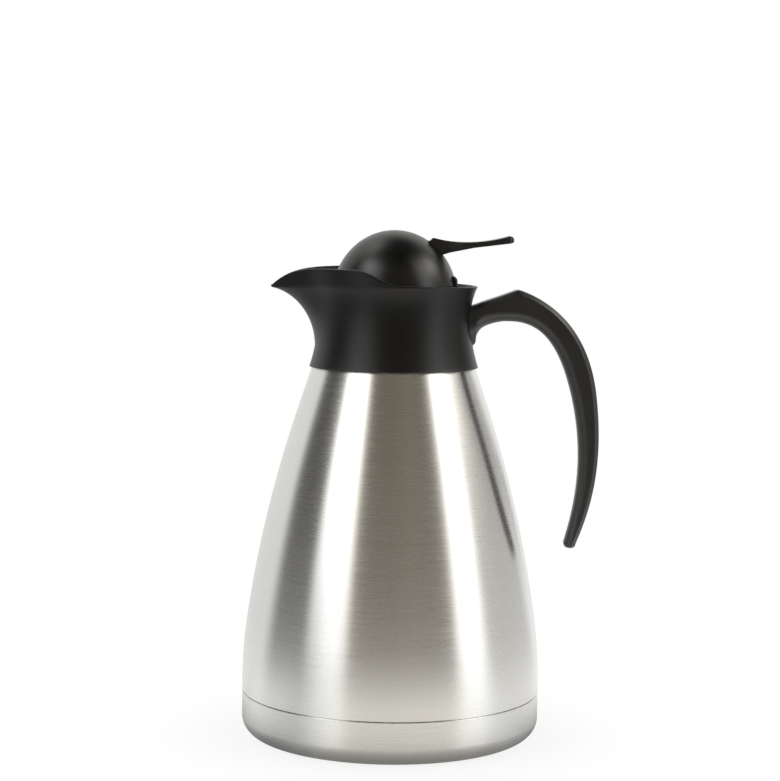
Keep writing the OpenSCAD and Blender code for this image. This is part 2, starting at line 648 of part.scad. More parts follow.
// Hollow dome with a boss inside for the lever's screw and a cut for the hinge
boss_r = 3.4;
boss_x = dome_in_r(lever_z + lever_head_r) - 0.4;
module dome_lid() {
    color([0.1, 0.1, 0.11]) difference() {
        egg(dome_half_w, dome_half_h, dome_z);
        difference() {
            egg(dome_half_w - dome_wall, dome_half_h - dome_wall, dome_z - 0.5);
            translate([boss_x, 0, lever_z]) rotate([0, 90, 0]) cylinder(r = boss_r, h = 20, $fn = 48);
        }
        translate([0, 0, lever_z]) rotate([0, 90, 0]) cylinder(r = lever_screw_r + fit, h = 40, $fn = 32);
        translate([hinge_x - 4.2, -hinge_room_y, dome_z - 1])
            cube([10, 2 * hinge_room_y, hinge_z + knuckle_r + 0.5 - dome_z + 1]);
    }
}

// Plate that closes the dome and carries the lid's knuckles
module lid_plate() {
    color([0.14, 0.14, 0.15]) difference() {
        union() {
            translate([0, 0, plate_z]) cylinder(r = base_r, h = base_t);
            for (y = [-inner_knuckle_y - knuckle_w, inner_knuckle_y]) {
                translate([hinge_x, y, hinge_z]) rotate([-90, 0, 0])
                    cylinder(r = knuckle_r, h = knuckle_w, $fn = 48);
                translate([base_r - 6, y, plate_z])
                    cube([hinge_x - base_r + 6, knuckle_w, hinge_z + knuckle_r - plate_z]);
            }
        }
        translate([hinge_x, -20, hinge_z]) rotate([-90, 0, 0]) cylinder(r = pin_r + pin_fit, h = 40);
        translate([base_r - 2.4, -inner_knuckle_y, plate_z - 1]) cube([10, 2 * inner_knuckle_y, base_t + 2]);
        translate([0, 0, plate_z - 1]) cylinder(r = stem_r - 1.5 + fit, h = base_t + 2, $fn = 48);
    }
}

// Plug that hangs from the plate and closes the pour hole
module lid_plug() {
    color([0.14, 0.14, 0.15]) union() {
        translate([0, 0, plug_z]) cylinder(r = gasket_r - 0.6, h = plug_t);
        translate([0, 0, plug_z]) cylinder(r = stem_r, h = plate_z - plug_z, $fn = 48);
        translate([0, 0, plate_z - 1]) cylinder(r = stem_r - 1.5, h = base_t + 1, $fn = 48);
        translate([0, 0, gasket_z + 0.3]) cylinder(r = 2.2, h = lid_gasket_t, $fn = 48);
    }
}

module lid_gasket() {
    color([0.86, 0.86, 0.84]) translate([0, 0, gasket_z]) difference() {
        cylinder(r = gasket_r, h = lid_gasket_t);
        translate([0, 0, -1]) cylinder(r = 2.2 + fit, h = lid_gasket_t + 2, $fn = 48);
    }
}

// Side outline of the lever: a deep root on the dome, a hollow for the thumb and a thin raised tip.
// Its points were read on a dome 32.8 high, 30.4 wide to each side, with a reach of 26.9
module lever_side() {
    top_x = 22.9 / 30.4 * dome_half_w;
    k = lever_reach / 26.9;
    function up(h) = dome_c + h * dome_half_h / 32.8;
    thumb = [[top_x, up(28.3)], [top_x + 10.1 * k, up(26.5)], [lever_tip_x - 13 * k, up(27.2)],
             [lever_tip_x - 2 * k, up(30.5)]];
    polygon(concat(
        [[top_x - 13 * k, up(22)], [top_x - 6.2 * k, up(27.8)], [top_x - 4.6 * k, up(29.3)]],
        [for (i = [0:10]) bez(thumb, i / 10)],
        [[lever_tip_x - 1.4 * k, up(30.4)], [lever_tip_x - 0.1 * k, up(28.4)],
         [lever_tip_x - 0.2 * k, up(27.6)], [lever_tip_x - 1.6 * k, up(30.2) - lever_tip_t],
         [top_x + 15 * k, up(24.7)], [top_x + 4 * k, up(22.4)],
         [top_x - 0.9 * k, up(20.9)], [top_x - 13 * k, up(17)]]));
}

module thumb_lever() {
    color([0.06, 0.06, 0.07]) difference() {
        intersection() {
            translate([0, lever_w / 2, 0]) rotate([90, 0, 0]) linear_extrude(lever_w) lever_side();
            translate([0, 0, dome_c]) linear_extrude(dome_half_h) union() {
                translate([0, -lever_w / 2]) square([lever_tip_x - lever_corner, lever_w]);
                translate([0, lever_corner - lever_w / 2]) square([lever_tip_x, lever_w - 2 * lever_corner]);
                for (y = [-1, 1]) translate([lever_tip_x - lever_corner, y * (lever_w / 2 - lever_corner)])
                    circle(r = lever_corner, $fn = 48);
            }
        }
        egg(dome_half_w + fit, dome_half_h + fit, dome_c);
        translate([0, 0, lever_z]) rotate([0, 90, 0])
            cylinder(r = lever_screw_r + fit, h = top_hole_x, $fn = 32);
    }
}
top_hole_x = dome_half_w + 1.5;

module lever_screw() {
    color([0.7, 0.7, 0.72]) translate([boss_x - 1.5, 0, lever_z]) rotate([0, 90, 0]) difference() {
        union() {
            cylinder(r = lever_head_r, h = 1.5, $fn = 32);
            cylinder(r = lever_screw_r, h = top_hole_x - boss_x + 1, $fn = 32);
        }
        translate([-1.2, -0.3, -1]) cube([2.4, 0.6, 1.7]);
        translate([-0.3, -1.2, -1]) cube([0.6, 2.4, 1.7]);
    }
}

// Outer and inner line of the handle, each of two joined curves: reach beyond the waist, drop below the rim
reach_k = grip_reach / 63.2;
drop_k = grip_drop / 128;
function grip_point(p) = [waist_r + p[0] * reach_k, rim_z - p[1] * drop_k];
outer_lines = [[[22.8, 1.2], [36, 5.2], [56.4, 17.1], [61.3, 50.3]],
               [[61.3, 50.3], [66.5, 87.3], [59.3, 109.7], [51.8, 127.3]]];
inner_lines = [[[11.6, 17.7], [32, 13.2], [41.5, 26.3], [47.2, 44.6]],
               [[47.2, 44.6], [58.9, 82.3], [50.9, 110.9], [46.1, 127]]];
function grip_line(lines, u) = grip_point(u < 1 ? bez(lines[0], u) : bez(lines[1], u - 1));

// Pairs of outer and inner points from the root to the free end
root_pairs = [[[-4, 10.9], [-4, 32]], [[2.3, 8.6], [2.1, 28.3]], [[3.5, 8.2], [2.5, 25.5]],
              [[5, 7.6], [3.4, 23]], [[7.5, 6.7], [5.2, 20.5]], [[12, 5.2], [9, 18.4]],
              [[17.5, 3.2], [15, 16.9]]];
grip_pairs = concat(
    [for (p = root_pairs) [grip_point(p[0]), grip_point(p[1])]],
    [for (u = [0, 0.12, 0.25, 0.4, 0.55, 0.7, 0.85, 1, 1.15, 1.3, 1.45, 1.6, 1.75, 1.9])
        [grip_line(outer_lines, u), grip_line(inner_lines, 0.15 + u * 0.9211)]]);

// Ring of points round the handle; k shrinks it and drop moves it, for the rounded end.
// At the root, where point is 1, the inner corners are drawn together to a wedge
function grip_ring(o, i, w, k, drop, point) =
    let(c = (o + i) / 2, d = (o - i) / norm(o - i), h = k * norm(o - i) / 2, v = k * w,
        b = grip_bevel * k, m = c + drop * [d[1], -d[0]],
        r = grip_round * k * (1 - point) + grip_point_h * point,
        t = grip_round * k * (1 - point) + (v - 0.8) * point, f = 0.29 + 0.15 * point)
    [for (q = [[h, v - b], [h - b, v], [-h + r, v], [-h + f * r, v - 0.29 * t], [-h, v - t],
               [-h, t - v], [-h + f * r, 0.29 * t - v], [-h + r, -v], [h - b, -v], [h, b - v]])
        [m[0] + q[0] * d[0], q[1], m[1] + q[0] * d[1]]];

module grip_skin() {
    last = len(grip_pairs) - 1;
    end_o = grip_line(outer_lines, 1.97);
    end_i = grip_line(inner_lines, 1.97);
    rings = concat(
        [for (j = [0:last]) let(s = max(j - 8, 0) / (last - 8))
            grip_ring(grip_pairs[j][0], grip_pairs[j][1],
                      grip_half_w + (grip_tip_half_w - grip_half_w) * s, 1, 0, max(1 - j / 6, 0))],
        [grip_ring(end_o, end_i, grip_tip_half_w, 0.95, 0, 0),
         grip_ring(end_o, end_i, grip_tip_half_w, 0.75, 0.7 * grip_nose, 0),
         grip_ring(end_o, end_i, grip_tip_half_w, 0.4, grip_nose, 0)]);
    n = 10;
    m = len(rings);
    points = [for (r = rings) each r];
    faces = concat(
        [for (j = [0:m - 2], i = [0:n - 1]) let(a = j * n + i, b = j * n + (i + 1) % n)
            each [[a, b, b + n], [a, b + n, a + n]]],
        [for (i = [1:n - 2]) [0, i + 1, i]],
        [for (i = [1:n - 2]) [(m - 1) * n, (m - 1) * n + i, (m - 1) * n + i + 1]]);
    polyhedron(points, faces, convexity = 6);
}

// Open handle whose root is cut to the collar's waist
module handle() {
    color([0.09, 0.09, 0.1]) difference() {
        grip_skin();
        lathe(concat([[0, collar_z - bowl_wall]],
            [for (i = [0:18]) let(z = collar_z - 1 + i * (rim_z - collar_z + 1) / 18)
                [collar_r(max(z, collar_z)) + grip_fit, z]],
            [[rim_r + grip_fit, rim_z + 2], [0, rim_z + 2]]));
        for (y = [-grip_screw_y, grip_screw_y]) grip_screw_room(y);
    }
}

base_cup();
outer_shell();
shell_bottom();
vacuum_seal();
getter();
inner_flask();
inner_bottom();
neck_gasket();
spout_collar();
neck_ring();
handle();
handle_screws();
stopper_seal();
stopper_body();
stopper_ring();
hinge_pin();
lid_spring();
dome_lid();
lid_plate();
lid_plug();
lid_gasket();
thumb_lever();
lever_screw();
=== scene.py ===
import math
import bmesh
import bpy
import numpy as np
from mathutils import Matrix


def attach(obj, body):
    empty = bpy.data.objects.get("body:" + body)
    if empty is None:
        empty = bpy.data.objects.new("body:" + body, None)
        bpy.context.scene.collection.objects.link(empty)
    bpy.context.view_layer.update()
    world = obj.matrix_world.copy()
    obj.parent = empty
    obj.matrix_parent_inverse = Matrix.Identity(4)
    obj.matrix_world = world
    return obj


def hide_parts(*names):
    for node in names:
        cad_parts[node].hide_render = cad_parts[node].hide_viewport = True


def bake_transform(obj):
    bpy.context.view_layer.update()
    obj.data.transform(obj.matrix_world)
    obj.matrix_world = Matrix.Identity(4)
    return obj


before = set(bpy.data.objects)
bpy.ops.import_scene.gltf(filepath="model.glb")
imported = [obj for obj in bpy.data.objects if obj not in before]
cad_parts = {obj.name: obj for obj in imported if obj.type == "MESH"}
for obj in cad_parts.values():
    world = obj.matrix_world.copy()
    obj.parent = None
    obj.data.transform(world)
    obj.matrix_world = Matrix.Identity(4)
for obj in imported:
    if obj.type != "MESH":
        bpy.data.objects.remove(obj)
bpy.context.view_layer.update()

# Every size below is in millimetres; a mesh is scaled to metres when it is made
toMetres = 0.001
scene = bpy.context.scene
scene.view_settings.view_transform = "Standard"
print("frame loaded:", len(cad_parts), "nodes")


# Camera, found from the ellipses of rim, seam and foot in the photograph
camera = {"place": (-1.66, -1033, 258.7), "pitch": 5.0, "roll": 0.68, "focalPixels": 2132,
          "longSide": 781, "clip": (0.01, 100)}
cameraData = bpy.data.cameras.new("camera")
cameraObject = bpy.data.objects.new("camera", cameraData)
scene.collection.objects.link(cameraObject)
cameraData.lens = camera["focalPixels"] * cameraData.sensor_width / camera["longSide"]
cameraData.clip_start, cameraData.clip_end = camera["clip"]
cameraObject.location = [v * toMetres for v in camera["place"]]
cameraObject.rotation_mode = "ZXY"
cameraObject.rotation_euler = (math.radians(90 - camera["pitch"]), 0, math.radians(camera["roll"]))
scene.camera = cameraObject
print("camera placed")


# Sizes that several pieces share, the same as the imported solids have
flask = {"bodyR": 72.5, "bellyZ": 26.3, "bellyArcR": 214, "bellyTurn": 7.83, "flankArcR": 586,
         "flankTurn": 18.32, "seamZ": 21.7, "seamGap": 0.3, "seamRound": 0.16, "shoulderZ": 186,
         "sheet": 0.6, "neckStep": 4.1, "neckH": 15.6, "neckGap": 1.3}
collar = {"lipZ": 180, "waistZ": 205, "rimZ": 219.5, "waistIn": 0.6, "lipOut": 1.4, "flare": 3.4,
          "lean": 0.21, "wall": 2.2, "ledge": 2, "gasket": 1.2}
stopper = {"flange": 1.5, "seal": 1.5, "seatUp": 2, "moat": 7.9, "ringDrop": 0.4, "ringWall": 2.2}
hinge = {"rise": 2.7, "inset": 0.1, "pinR": 1, "knuckleR": 2, "knuckleW": 2.6, "gap": 0.3,
         "springW": 5.4}
dome = {"gap": 0.3, "height": 26.8, "halfHeight": 32.8, "overRing": 0.1, "wall": 2.2,
        "plateGap": 0.4, "plate": 2.2, "plateFit": 0.05}


def sine(a):
    return np.sin(np.radians(a))


def cosine(a):
    return np.cos(np.radians(a))


# Unit vector at the angle a from the X axis
def toward(a):
    return np.array([cosine(a), sine(a)])


# Centres and ends of the two arcs of the steel wall
bellyC = np.array([flask["bodyR"] - flask["bellyArcR"], flask["bellyZ"]])
bellyE = bellyC + flask["bellyArcR"] * toward(flask["bellyTurn"])
flankC = bellyE - flask["flankArcR"] * toward(flask["bellyTurn"])
flankE = flankC + flask["flankArcR"] * toward(flask["flankTurn"])


# Radius at height z of the arc of radius r about the centre c: Pythagoras in the arc's circle
def arcAt(c, r, z):
    return c[0] + np.sqrt(np.maximum(r ** 2 - (z - c[1]) ** 2, 0))


# Radius of the steel wall at height z: upright to the belly, two arcs, then a straight slope
def flaskR(z):
    z = np.asarray(z, float)
    belly, flank = arcAt(bellyC, flask["bellyArcR"], z), arcAt(flankC, flask["flankArcR"], z)
    slope = flankE[0] - math.tan(math.radians(flask["flankTurn"])) * (z - flankE[1])
    return np.select([z < flask["bellyZ"], z < bellyE[1], z < flankE[1]],
                     [flask["bodyR"], belly, flank], slope)


shoulderR = float(flaskR(flask["shoulderZ"]))
neckR = shoulderR - flask["neckStep"]
lipTop = flask["shoulderZ"] + flask["neckH"]
neckTop = lipTop - flask["sheet"]
boreR = neckR - 2 * flask["sheet"] - flask["neckGap"]
waistR = shoulderR - collar["waistIn"]
rimR = waistR + collar["flare"]
ledgeZ = lipTop + collar["gasket"]
floorZ = ledgeZ + collar["ledge"]
flangeZ = floorZ + stopper["flange"] + stopper["seal"]
seatZ = flangeZ + stopper["seatUp"]
ringR = rimR - collar["wall"] - stopper["moat"]
ringZ = collar["rimZ"] - stopper["ringDrop"]
domeZ = ringZ + dome["gap"]
domeTop = domeZ + dome["height"]
domeC = domeTop - dome["halfHeight"]
domeHalfW = ringR + dome["overRing"]
hingeX = ringR - hinge["knuckleR"] - hinge["inset"]
hingeZ = collar["rimZ"] + hinge["rise"]
plateTop = hingeZ + dome["plateGap"] + dome["plate"]
plateLift = (plateTop - domeC) / (dome["halfHeight"] - dome["wall"])
plateR = (domeHalfW - dome["wall"]) * math.sqrt(1 - plateLift ** 2) - dome["plateFit"]


# Radius of an arc that leaves the vertical and moves sideways by d over the height h
def arcRadius(h, d):
    return (h * h + d * d) / (2 * d)


lipR = float(flaskR(collar["lipZ"])) + collar["lipOut"]
lowerArc = arcRadius(collar["waistZ"] - collar["lipZ"], lipR - waistR)
upperArc = arcRadius(collar["rimZ"] - collar["waistZ"], collar["flare"])


# Radius of the collar at height z away from the spout: two arcs that meet upright at the waist,
# then a slope
def collarR(z):
    z = np.asarray(z, float)
    fromWaist = (z - collar["waistZ"]) ** 2
    low = waistR + lowerArc - np.sqrt(np.maximum(lowerArc ** 2 - fromWaist, 0))
    high = waistR + upperArc - np.sqrt(np.maximum(upperArc ** 2 - fromWaist, 0))
    above = rimR + collar["lean"] * (z - collar["rimZ"])
    return np.select([z < collar["waistZ"], z < collar["rimZ"]], [low, high], above)


# Cubic Bezier curve with the four control points p, at the values t
def bezier(p, t):
    p, t = np.asarray(p, float), np.asarray(t, float)[..., None]
    u = 1 - t
    return u ** 3 * p[0] + 3 * u ** 2 * t * p[1] + 3 * u * t * t * p[2] + t ** 3 * p[3]


# Its unit direction: the curve's derivative, divided by its length
def bezierWay(p, t):
    p, t = np.asarray(p, float), np.asarray(t, float)[..., None]
    u = 1 - t
    d = u ** 2 * (p[1] - p[0]) + 2 * u * t * (p[2] - p[1]) + t * t * (p[3] - p[2])
    return d / np.linalg.norm(d, axis=-1, keepdims=True)


# Points from angle a to angle b along a circle of radius r about c, in n steps
def arc(c, r, a, b, n):
    a = np.linspace(a, b, n + 1)
    return np.stack([c[0] + r * cosine(a), c[1] + r * sine(a)], -1)


# Closed outline whose corners are drawn in by their rounding, by at most a share of each side,
# and bridged by a parabola; corners has the shape (..., n, 2)
def softLoop(corners, rounds, steps=4, share=0.48):
    corners = np.asarray(corners, float)
    back, on = np.roll(corners, 1, -2) - corners, np.roll(corners, -1, -2) - corners
    backL, onL = np.linalg.norm(back, axis=-1), np.linalg.norm(on, axis=-1)
    cut = np.minimum(np.broadcast_to(rounds, backL.shape), share * backL)
    cut = np.minimum(cut, share * onL)[..., None]
    a, b = corners + cut * back / backL[..., None], corners + cut * on / onL[..., None]
    a, b, corners = a[..., None, :], b[..., None, :], corners[..., None, :]
    t = np.linspace(0, 1, steps + 1)[:, None]
    soft = (1 - t) ** 2 * a + 2 * t * (1 - t) * corners + t * t * b
    return soft.reshape(*soft.shape[:-3], -1, 2)


# Draws a row of points towards a smooth line: each but the two ends becomes the mean of itself,
# at one half, and its neighbours, at one quarter
def relax(points, rounds):
    for _ in range(rounds):
        points[1:-1] = 0.25 * points[:-2] + 0.5 * points[1:-1] + 0.25 * points[2:]


# Turned grid: the closed outline of (radius, height) points is carried round the Z axis
def turned(outline, n=240):
    a = np.linspace(0, 360, n, endpoint=False)
    r, z = outline[:, 0][:, None], outline[:, 1][:, None]
    return np.stack([r * cosine(a), r * sine(a), z + 0 * a], -1)


# Quads of a grid of m rings of n points; a ring closes on itself, and wrap also joins the last
# ring to the first
def gridFaces(m, n, wrap):
    j, i = np.meshgrid(np.arange(m if wrap else m - 1), np.arange(n), indexing="ij")
    k, l = (j + 1) % m, (i + 1) % n
    return np.stack([j * n + i, j * n + l, k * n + l, k * n + i], -1).reshape(-1, 4)


cleaning = {"doubles": 2e-7, "slivers": 1e-7}  # in metres


# Mesh object from a grid (rings, points, 3): "loop" joins the last ring to the first, "caps"
# closes both ends with a point, "open" leaves them. Doubles are merged, faces without area
# dropped, faces turned outwards, and edges sharper than the angle marked
def makePiece(name, grid, ends, sharp=35):
    m, n = grid.shape[:2]
    points, faces = grid.reshape(-1, 3), gridFaces(m, n, ends == "loop").tolist()
    if ends == "caps":
        points = np.concatenate([points, [grid[0].mean(0), grid[-1].mean(0)]])
        i, on, lastRing = np.arange(n), (np.arange(n) + 1) % n, (m - 1) * n
        faces += np.stack([on, i, np.full(n, m * n)], -1).tolist()
        faces += np.stack([i + lastRing, on + lastRing, np.full(n, m * n + 1)], -1).tolist()
    mesh = bpy.data.meshes.new(name)
    mesh.from_pydata((points * toMetres).tolist(), [], faces)
    shape = bmesh.new()
    shape.from_mesh(mesh)
    bmesh.ops.remove_doubles(shape, verts=shape.verts, dist=cleaning["doubles"])
    bmesh.ops.dissolve_degenerate(shape, edges=shape.edges, dist=cleaning["slivers"])
    bmesh.ops.recalc_face_normals(shape, faces=shape.faces)
    shape.to_mesh(mesh)
    shape.free()
    mesh.shade_smooth()
    mesh.set_sharp_from_angle(angle=math.radians(sharp))
    piece = bpy.data.objects.new(name, mesh)
    scene.collection.objects.link(piece)
    return piece


# Gives a finished piece its finish, hangs it on its body and hides the CAD nodes that it stands
# for; body is None for the piece that bends, which hangs on no body. slotName is not used
def settle(piece, body, slotName, finishName, *nodes):
    piece.data.materials.clear()
    piece.data.materials.append(finishes[finishName])
    if body:
        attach(piece, body)
    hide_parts(*nodes)
    print("made", piece.name, len(piece.data.polygons), "faces")
    return piece


# A socket with operators, so that shader maths reads as an expression
class Wire:
    def __init__(self, maker, socket):
        self.maker, self.socket = maker, socket

    def maths(self, operation, other):
        return self.maker.add("ShaderNodeMath", {"operation": operation}, {0: self, 1: other})

    def __add__(self, other):
        return self.maths("ADD", other)

    def __mul__(self, other):
        return self.maths("MULTIPLY", other)

    __radd__, __rmul__ = __add__, __mul__


# Makes one node tree. add() takes a node's type, its settings and its sockets' values or wires
class Maker:
    def __init__(self, holder):
        holder.use_nodes = True
        self.holder, self.tree = holder, holder.node_tree
        self.tree.nodes.clear()

    def add(self, kind, settings=None, sockets=None, out=0):
        node = self.tree.nodes.new(kind)
        for key, value in (settings or {}).items():
            setattr(node, key, value)
        for key, value in (sockets or {}).items():
            if isinstance(value, Wire):
                self.tree.links.new(value.socket, node.inputs[key])
            else:
                node.inputs[key].default_value = value
        return Wire(self, node.outputs[out]) if len(node.outputs) else None

    # Noise on object coordinates in metres, stretched by a scale for each axis
    def noise(self, scale, detail=2.0, roughness=0.5):
        spot = self.add("ShaderNodeTexCoord", out="Object")
        spot = self.add("ShaderNodeMapping", None, {"Vector": spot, "Scale": scale})
        return self.add("ShaderNodeTexNoise", None, {
            "Vector": spot, "Scale": 1.0, "Detail": detail, "Roughness": roughness}, "Fac")

    def spread(self, value, low, high, toLow=0.0, toHigh=1.0):
        return self.add("ShaderNodeMapRange", None, {
            "Value": value, "From Min": low, "From Max": high, "To Min": toLow, "To Max": toHigh})

    # A roughness that swings about its middle with a value that lies mostly between 0.3 and 0.7
    def swing(self, value, middle, by):
        return self.spread(value, 0.3, 0.7, middle - by, middle + by)

    def blend(self, factor, a, b):
        return self.add("ShaderNodeMix", {"data_type": "RGBA"},
                        {0: factor, 6: (*a, 1), 7: (*b, 1)}, 2)

    def bump(self, height, strength, depth):
        return self.add("ShaderNodeBump", None, {
            "Strength": strength, "Distance": depth * toMetres, "Height": height})

    def glow(self, colour):
        return self.add("ShaderNodeEmission", None, {"Color": colour, "Strength": 1.0})

    def finish(self, shader, target="ShaderNodeOutputMaterial"):
        self.add(target, None, {"Surface": shader})
        return self.holder

    # Finish with a Principled surface that has these sockets
    def surface(self, sockets):
        return self.finish(self.add("ShaderNodeBsdfPrincipled", None, sockets))


def newFinish(name):
    return Maker(bpy.data.materials.new(name))


# Brushed steel: broad and fine lines round the axis, as noise stretched along the circumference,
# over slow blotches; each noise has its scale, detail and roughness
brushing = {"broad": ((26, 26, 1300), 3.0, 0.6), "fine": ((90, 90, 5200), 2.0, 0.6),
            "blotch": ((9, 9, 40), 2.0), "relief": 0.3, "swing": 0.03, "turn": 0.25}


def brushedSteel(name, light, dark, roughness, lineDepth, anisotropy):
    m = newFinish(name)
    lines = m.noise(*brushing["broad"]) * 0.5 + m.noise(*brushing["fine"]) * 0.5
    tone = lines * 0.6 + m.noise(*brushing["blotch"]) * 0.4
    return m.surface({
        "Base Color": m.blend(m.spread(tone, 0.35, 0.65), dark, light), "Metallic": 1.0,
        "Roughness": m.swing(lines, roughness, brushing["swing"]), "Anisotropic": anisotropy,
        "Anisotropic Rotation": brushing["turn"],
        "Normal": m.bump(lines, brushing["relief"], lineDepth)})


# Moulded plastic: a fine even grain in relief, and a slow drift in colour and gloss
moulding = {"drift": ((70, 70, 70), 3.0), "grainDetail": (3.0, 0.6), "relief": 0.5,
            "swing": 0.04, "lighter": 1.25}


def mouldedPlastic(name, colour, roughness, grainDepth, grain=2600, level=0.5):
    m = newFinish(name)
    fine = m.noise((grain, grain, grain), *moulding["grainDetail"])
    slow = m.noise(*moulding["drift"])
    lighter = tuple(c * moulding["lighter"] for c in colour)
    return m.surface({
        "Base Color": m.blend(m.spread(slow, 0.3, 0.7), colour, lighter),
        "Roughness": m.swing(fine * 0.5 + slow * 0.5, roughness, moulding["swing"]),
        "Specular IOR Level": level, "Normal": m.bump(fine, moulding["relief"], grainDepth)})


# Milky silicone, soft and a little translucent
rubber = {"cloud": ((260, 260, 260), 2.0), "dark": (0.78, 0.78, 0.75), "light": (0.85, 0.85, 0.83),
          "roughness": (0.42, 0.5), "relief": 0.2, "reliefDepth": 0.05, "depth": 0.25,
          "reach": (0.003, 0.003, 0.0028)}


def silicone(name):
    m = newFinish(name)
    cloud = m.noise(*rubber["cloud"])
    return m.surface({
        "Base Color": m.blend(cloud, rubber["dark"], rubber["light"]),
        "Roughness": m.spread(cloud, 0.3, 0.7, *rubber["roughness"]),
        "Subsurface Weight": rubber["depth"], "Subsurface Radius": rubber["reach"],
        "Normal": m.bump(cloud, rubber["relief"], rubber["reliefDepth"])})


# Bright or dull metal with a faint cloud in its colour and gloss
smallMetal = {"cloud": ((180, 180, 180), 3.0), "grain": ((1400, 1400, 1400), 2.0), "darker": 0.88,
              "relief": 0.15, "reliefDepth": 0.03, "swing": 0.05}


def plainMetal(name, colour, roughness):
    m = newFinish(name)
    cloud, grain = m.noise(*smallMetal["cloud"]), m.noise(*smallMetal["grain"])
    darker = tuple(c * smallMetal["darker"] for c in colour)
    return m.surface({
        "Base Color": m.blend(cloud, darker, colour), "Metallic": 1.0,
        "Roughness": m.swing(cloud, roughness, smallMetal["swing"]),
        "Normal": m.bump(grain, smallMetal["relief"], smallMetal["reliefDepth"])})


# Finishes, each with the function that makes it and what it takes
finishList = {
    "brushedSteel": (brushedSteel, {
        "light": (0.78, 0.782, 0.763), "dark": (0.745, 0.746, 0.727), "roughness": 0.27,
        "lineDepth": 0.013, "anisotropy": 0.88}),
    "innerSteel": (brushedSteel, {
        "light": (0.70, 0.69, 0.67), "dark": (0.64, 0.63, 0.61), "roughness": 0.36,
        "lineDepth": 0.02, "anisotropy": 0.7}),
    "collarPlastic": (mouldedPlastic, {
        "colour": (0.003, 0.003, 0.0034), "roughness": 0.38, "grainDepth": 0.012, "level": 0.4}),
    "domePlastic": (mouldedPlastic, {
        "colour": (0.004, 0.004, 0.004), "roughness": 0.31, "grainDepth": 0.022, "grain": 1500}),
    "handlePlastic": (mouldedPlastic, {
        "colour": (0.009, 0.0087, 0.0086), "roughness": 0.36, "grainDepth": 0.012,
        "level": 0.75}),
    "leverPlastic": (mouldedPlastic, {
        "colour": (0.009, 0.009, 0.009), "roughness": 0.33, "grainDepth": 0.006, "level": 0.55}),
    "innerPlastic": (mouldedPlastic, {
        "colour": (0.009, 0.009, 0.0095), "roughness": 0.42, "grainDepth": 0.012}),
    "silicone": (silicone, {}),
    "screwSteel": (plainMetal, {"colour": (0.62, 0.62, 0.63), "roughness": 0.25}),
    "springSteel": (plainMetal, {"colour": (0.58, 0.58, 0.59), "roughness": 0.3}),
    "solder": (plainMetal, {"colour": (0.38, 0.38, 0.39), "roughness": 0.5}),
    "getterAlloy": (plainMetal, {"colour": (0.25, 0.25, 0.26), "roughness": 0.6})}
finishes = {name: make(name, **values) for name, (make, values) in finishList.items()}
print("finishes made:", len(finishes))


# Steel wall, with the skirt that the cup hides and the neck that the collar hides; the free edge
# at the seam is rolled in a little
shell = {"skirtGap": 0.1, "skirtZ": 11, "edgeRows": (0.02, 0.2), "rolledTo": 0.1, "wallFrom": 0.6}


# Turned outline: wall upwards, bend to the neck, back down inside by the sheet, then the skirt
def makeOuterShell():
    s, low = flask["sheet"], flask["seamZ"] + flask["seamGap"] / 2
    skirtR = flask["bodyR"] - s - shell["skirtGap"]
    top = flask["shoulderZ"]
    edge = [low + up for up in shell["edgeRows"]]
    up = np.concatenate([edge, np.linspace(low + shell["wallFrom"], top, 90)])
    rolled = np.where(up < low + shell["rolledTo"], flask["seamRound"], 0)
    wall = np.stack([flaskR(up) - rolled, up], -1)
    down = np.linspace(top - 0.2, low + s, 60)
    inner = np.stack([flaskR(down) - s, down], -1)
    # The bend, each point as (radius that it starts from, how far out, how far up)
    bendOn = [(shoulderR, -1, 1.2), (neckR, 0.8, 2), (neckR, 0, 3)]
    bendBack = [(neckR - s, 0, 2.7), (neckR, 0.5, 1.5), (shoulderR - s, -0.9, 0.6)]
    bendOn, bendBack = ([[r + out, top + up] for r, out, up in bend] for bend in (bendOn, bendBack))
    neck = [[neckR, neckTop], [neckR - s, neckTop]]
    skirtZ = shell["skirtZ"]
    skirt = [[skirtR - s, low + s], [skirtR - s, skirtZ], [skirtR, skirtZ], [skirtR, low]]
    outline = np.concatenate([wall, bendOn, neck, bendBack, inner, skirt])
    return settle(makePiece("outerShell", turned(outline), "loop", 28), "flask",
                  "brushed_steel", "brushedSteel", "outer_shell")


# Cup that closes the foot, with a bead pressed into its underside
footCup = {"round": 9, "ringW": 6.5, "beadW": 7, "beadDepth": 0.9, "lipIn": 0.2, "uncut": 0.01}


# Turned outline: panel, bead as one wave of a cosine, quarter circle, wall, and back inside
def makeFootCup():
    s, r, bodyR = flask["sheet"], footCup["round"], flask["bodyR"]
    top = flask["seamZ"] - flask["seamGap"] / 2
    ringIn = bodyR - r - footCup["ringW"]
    panelR = ringIn - footCup["beadW"]
    corner = (bodyR - r, r)
    t = np.linspace(0, 1, 13)
    lift = footCup["beadDepth"] * (0.5 - 0.5 * np.cos(2 * math.pi * t))
    bead = np.stack([panelR + (ringIn - panelR) * t, lift], -1)
    edge = softLoop([[bodyR, top - 1], [bodyR, top], [bodyR - s, top], [bodyR - s, top - 1]],
                    [footCup["uncut"], flask["seamRound"], footCup["lipIn"], footCup["uncut"]], 3)
    outline = np.concatenate([
        [[0, 0], [panelR * 0.5, 0]], bead, arc(corner, r, -90, 0, 24),
        [[bodyR, 0.5 * (top + r)]], edge, arc(corner, r - s, 0, -90, 24),
        bead[::-1] + [0, s], [[panelR * 0.5, s], [0, s]]])
    return settle(makePiece("footCup", turned(outline), "open", 40), "flask",
                  "brushed_steel", "brushedSteel", "base_cup")


makeOuterShell()
makeFootCup()


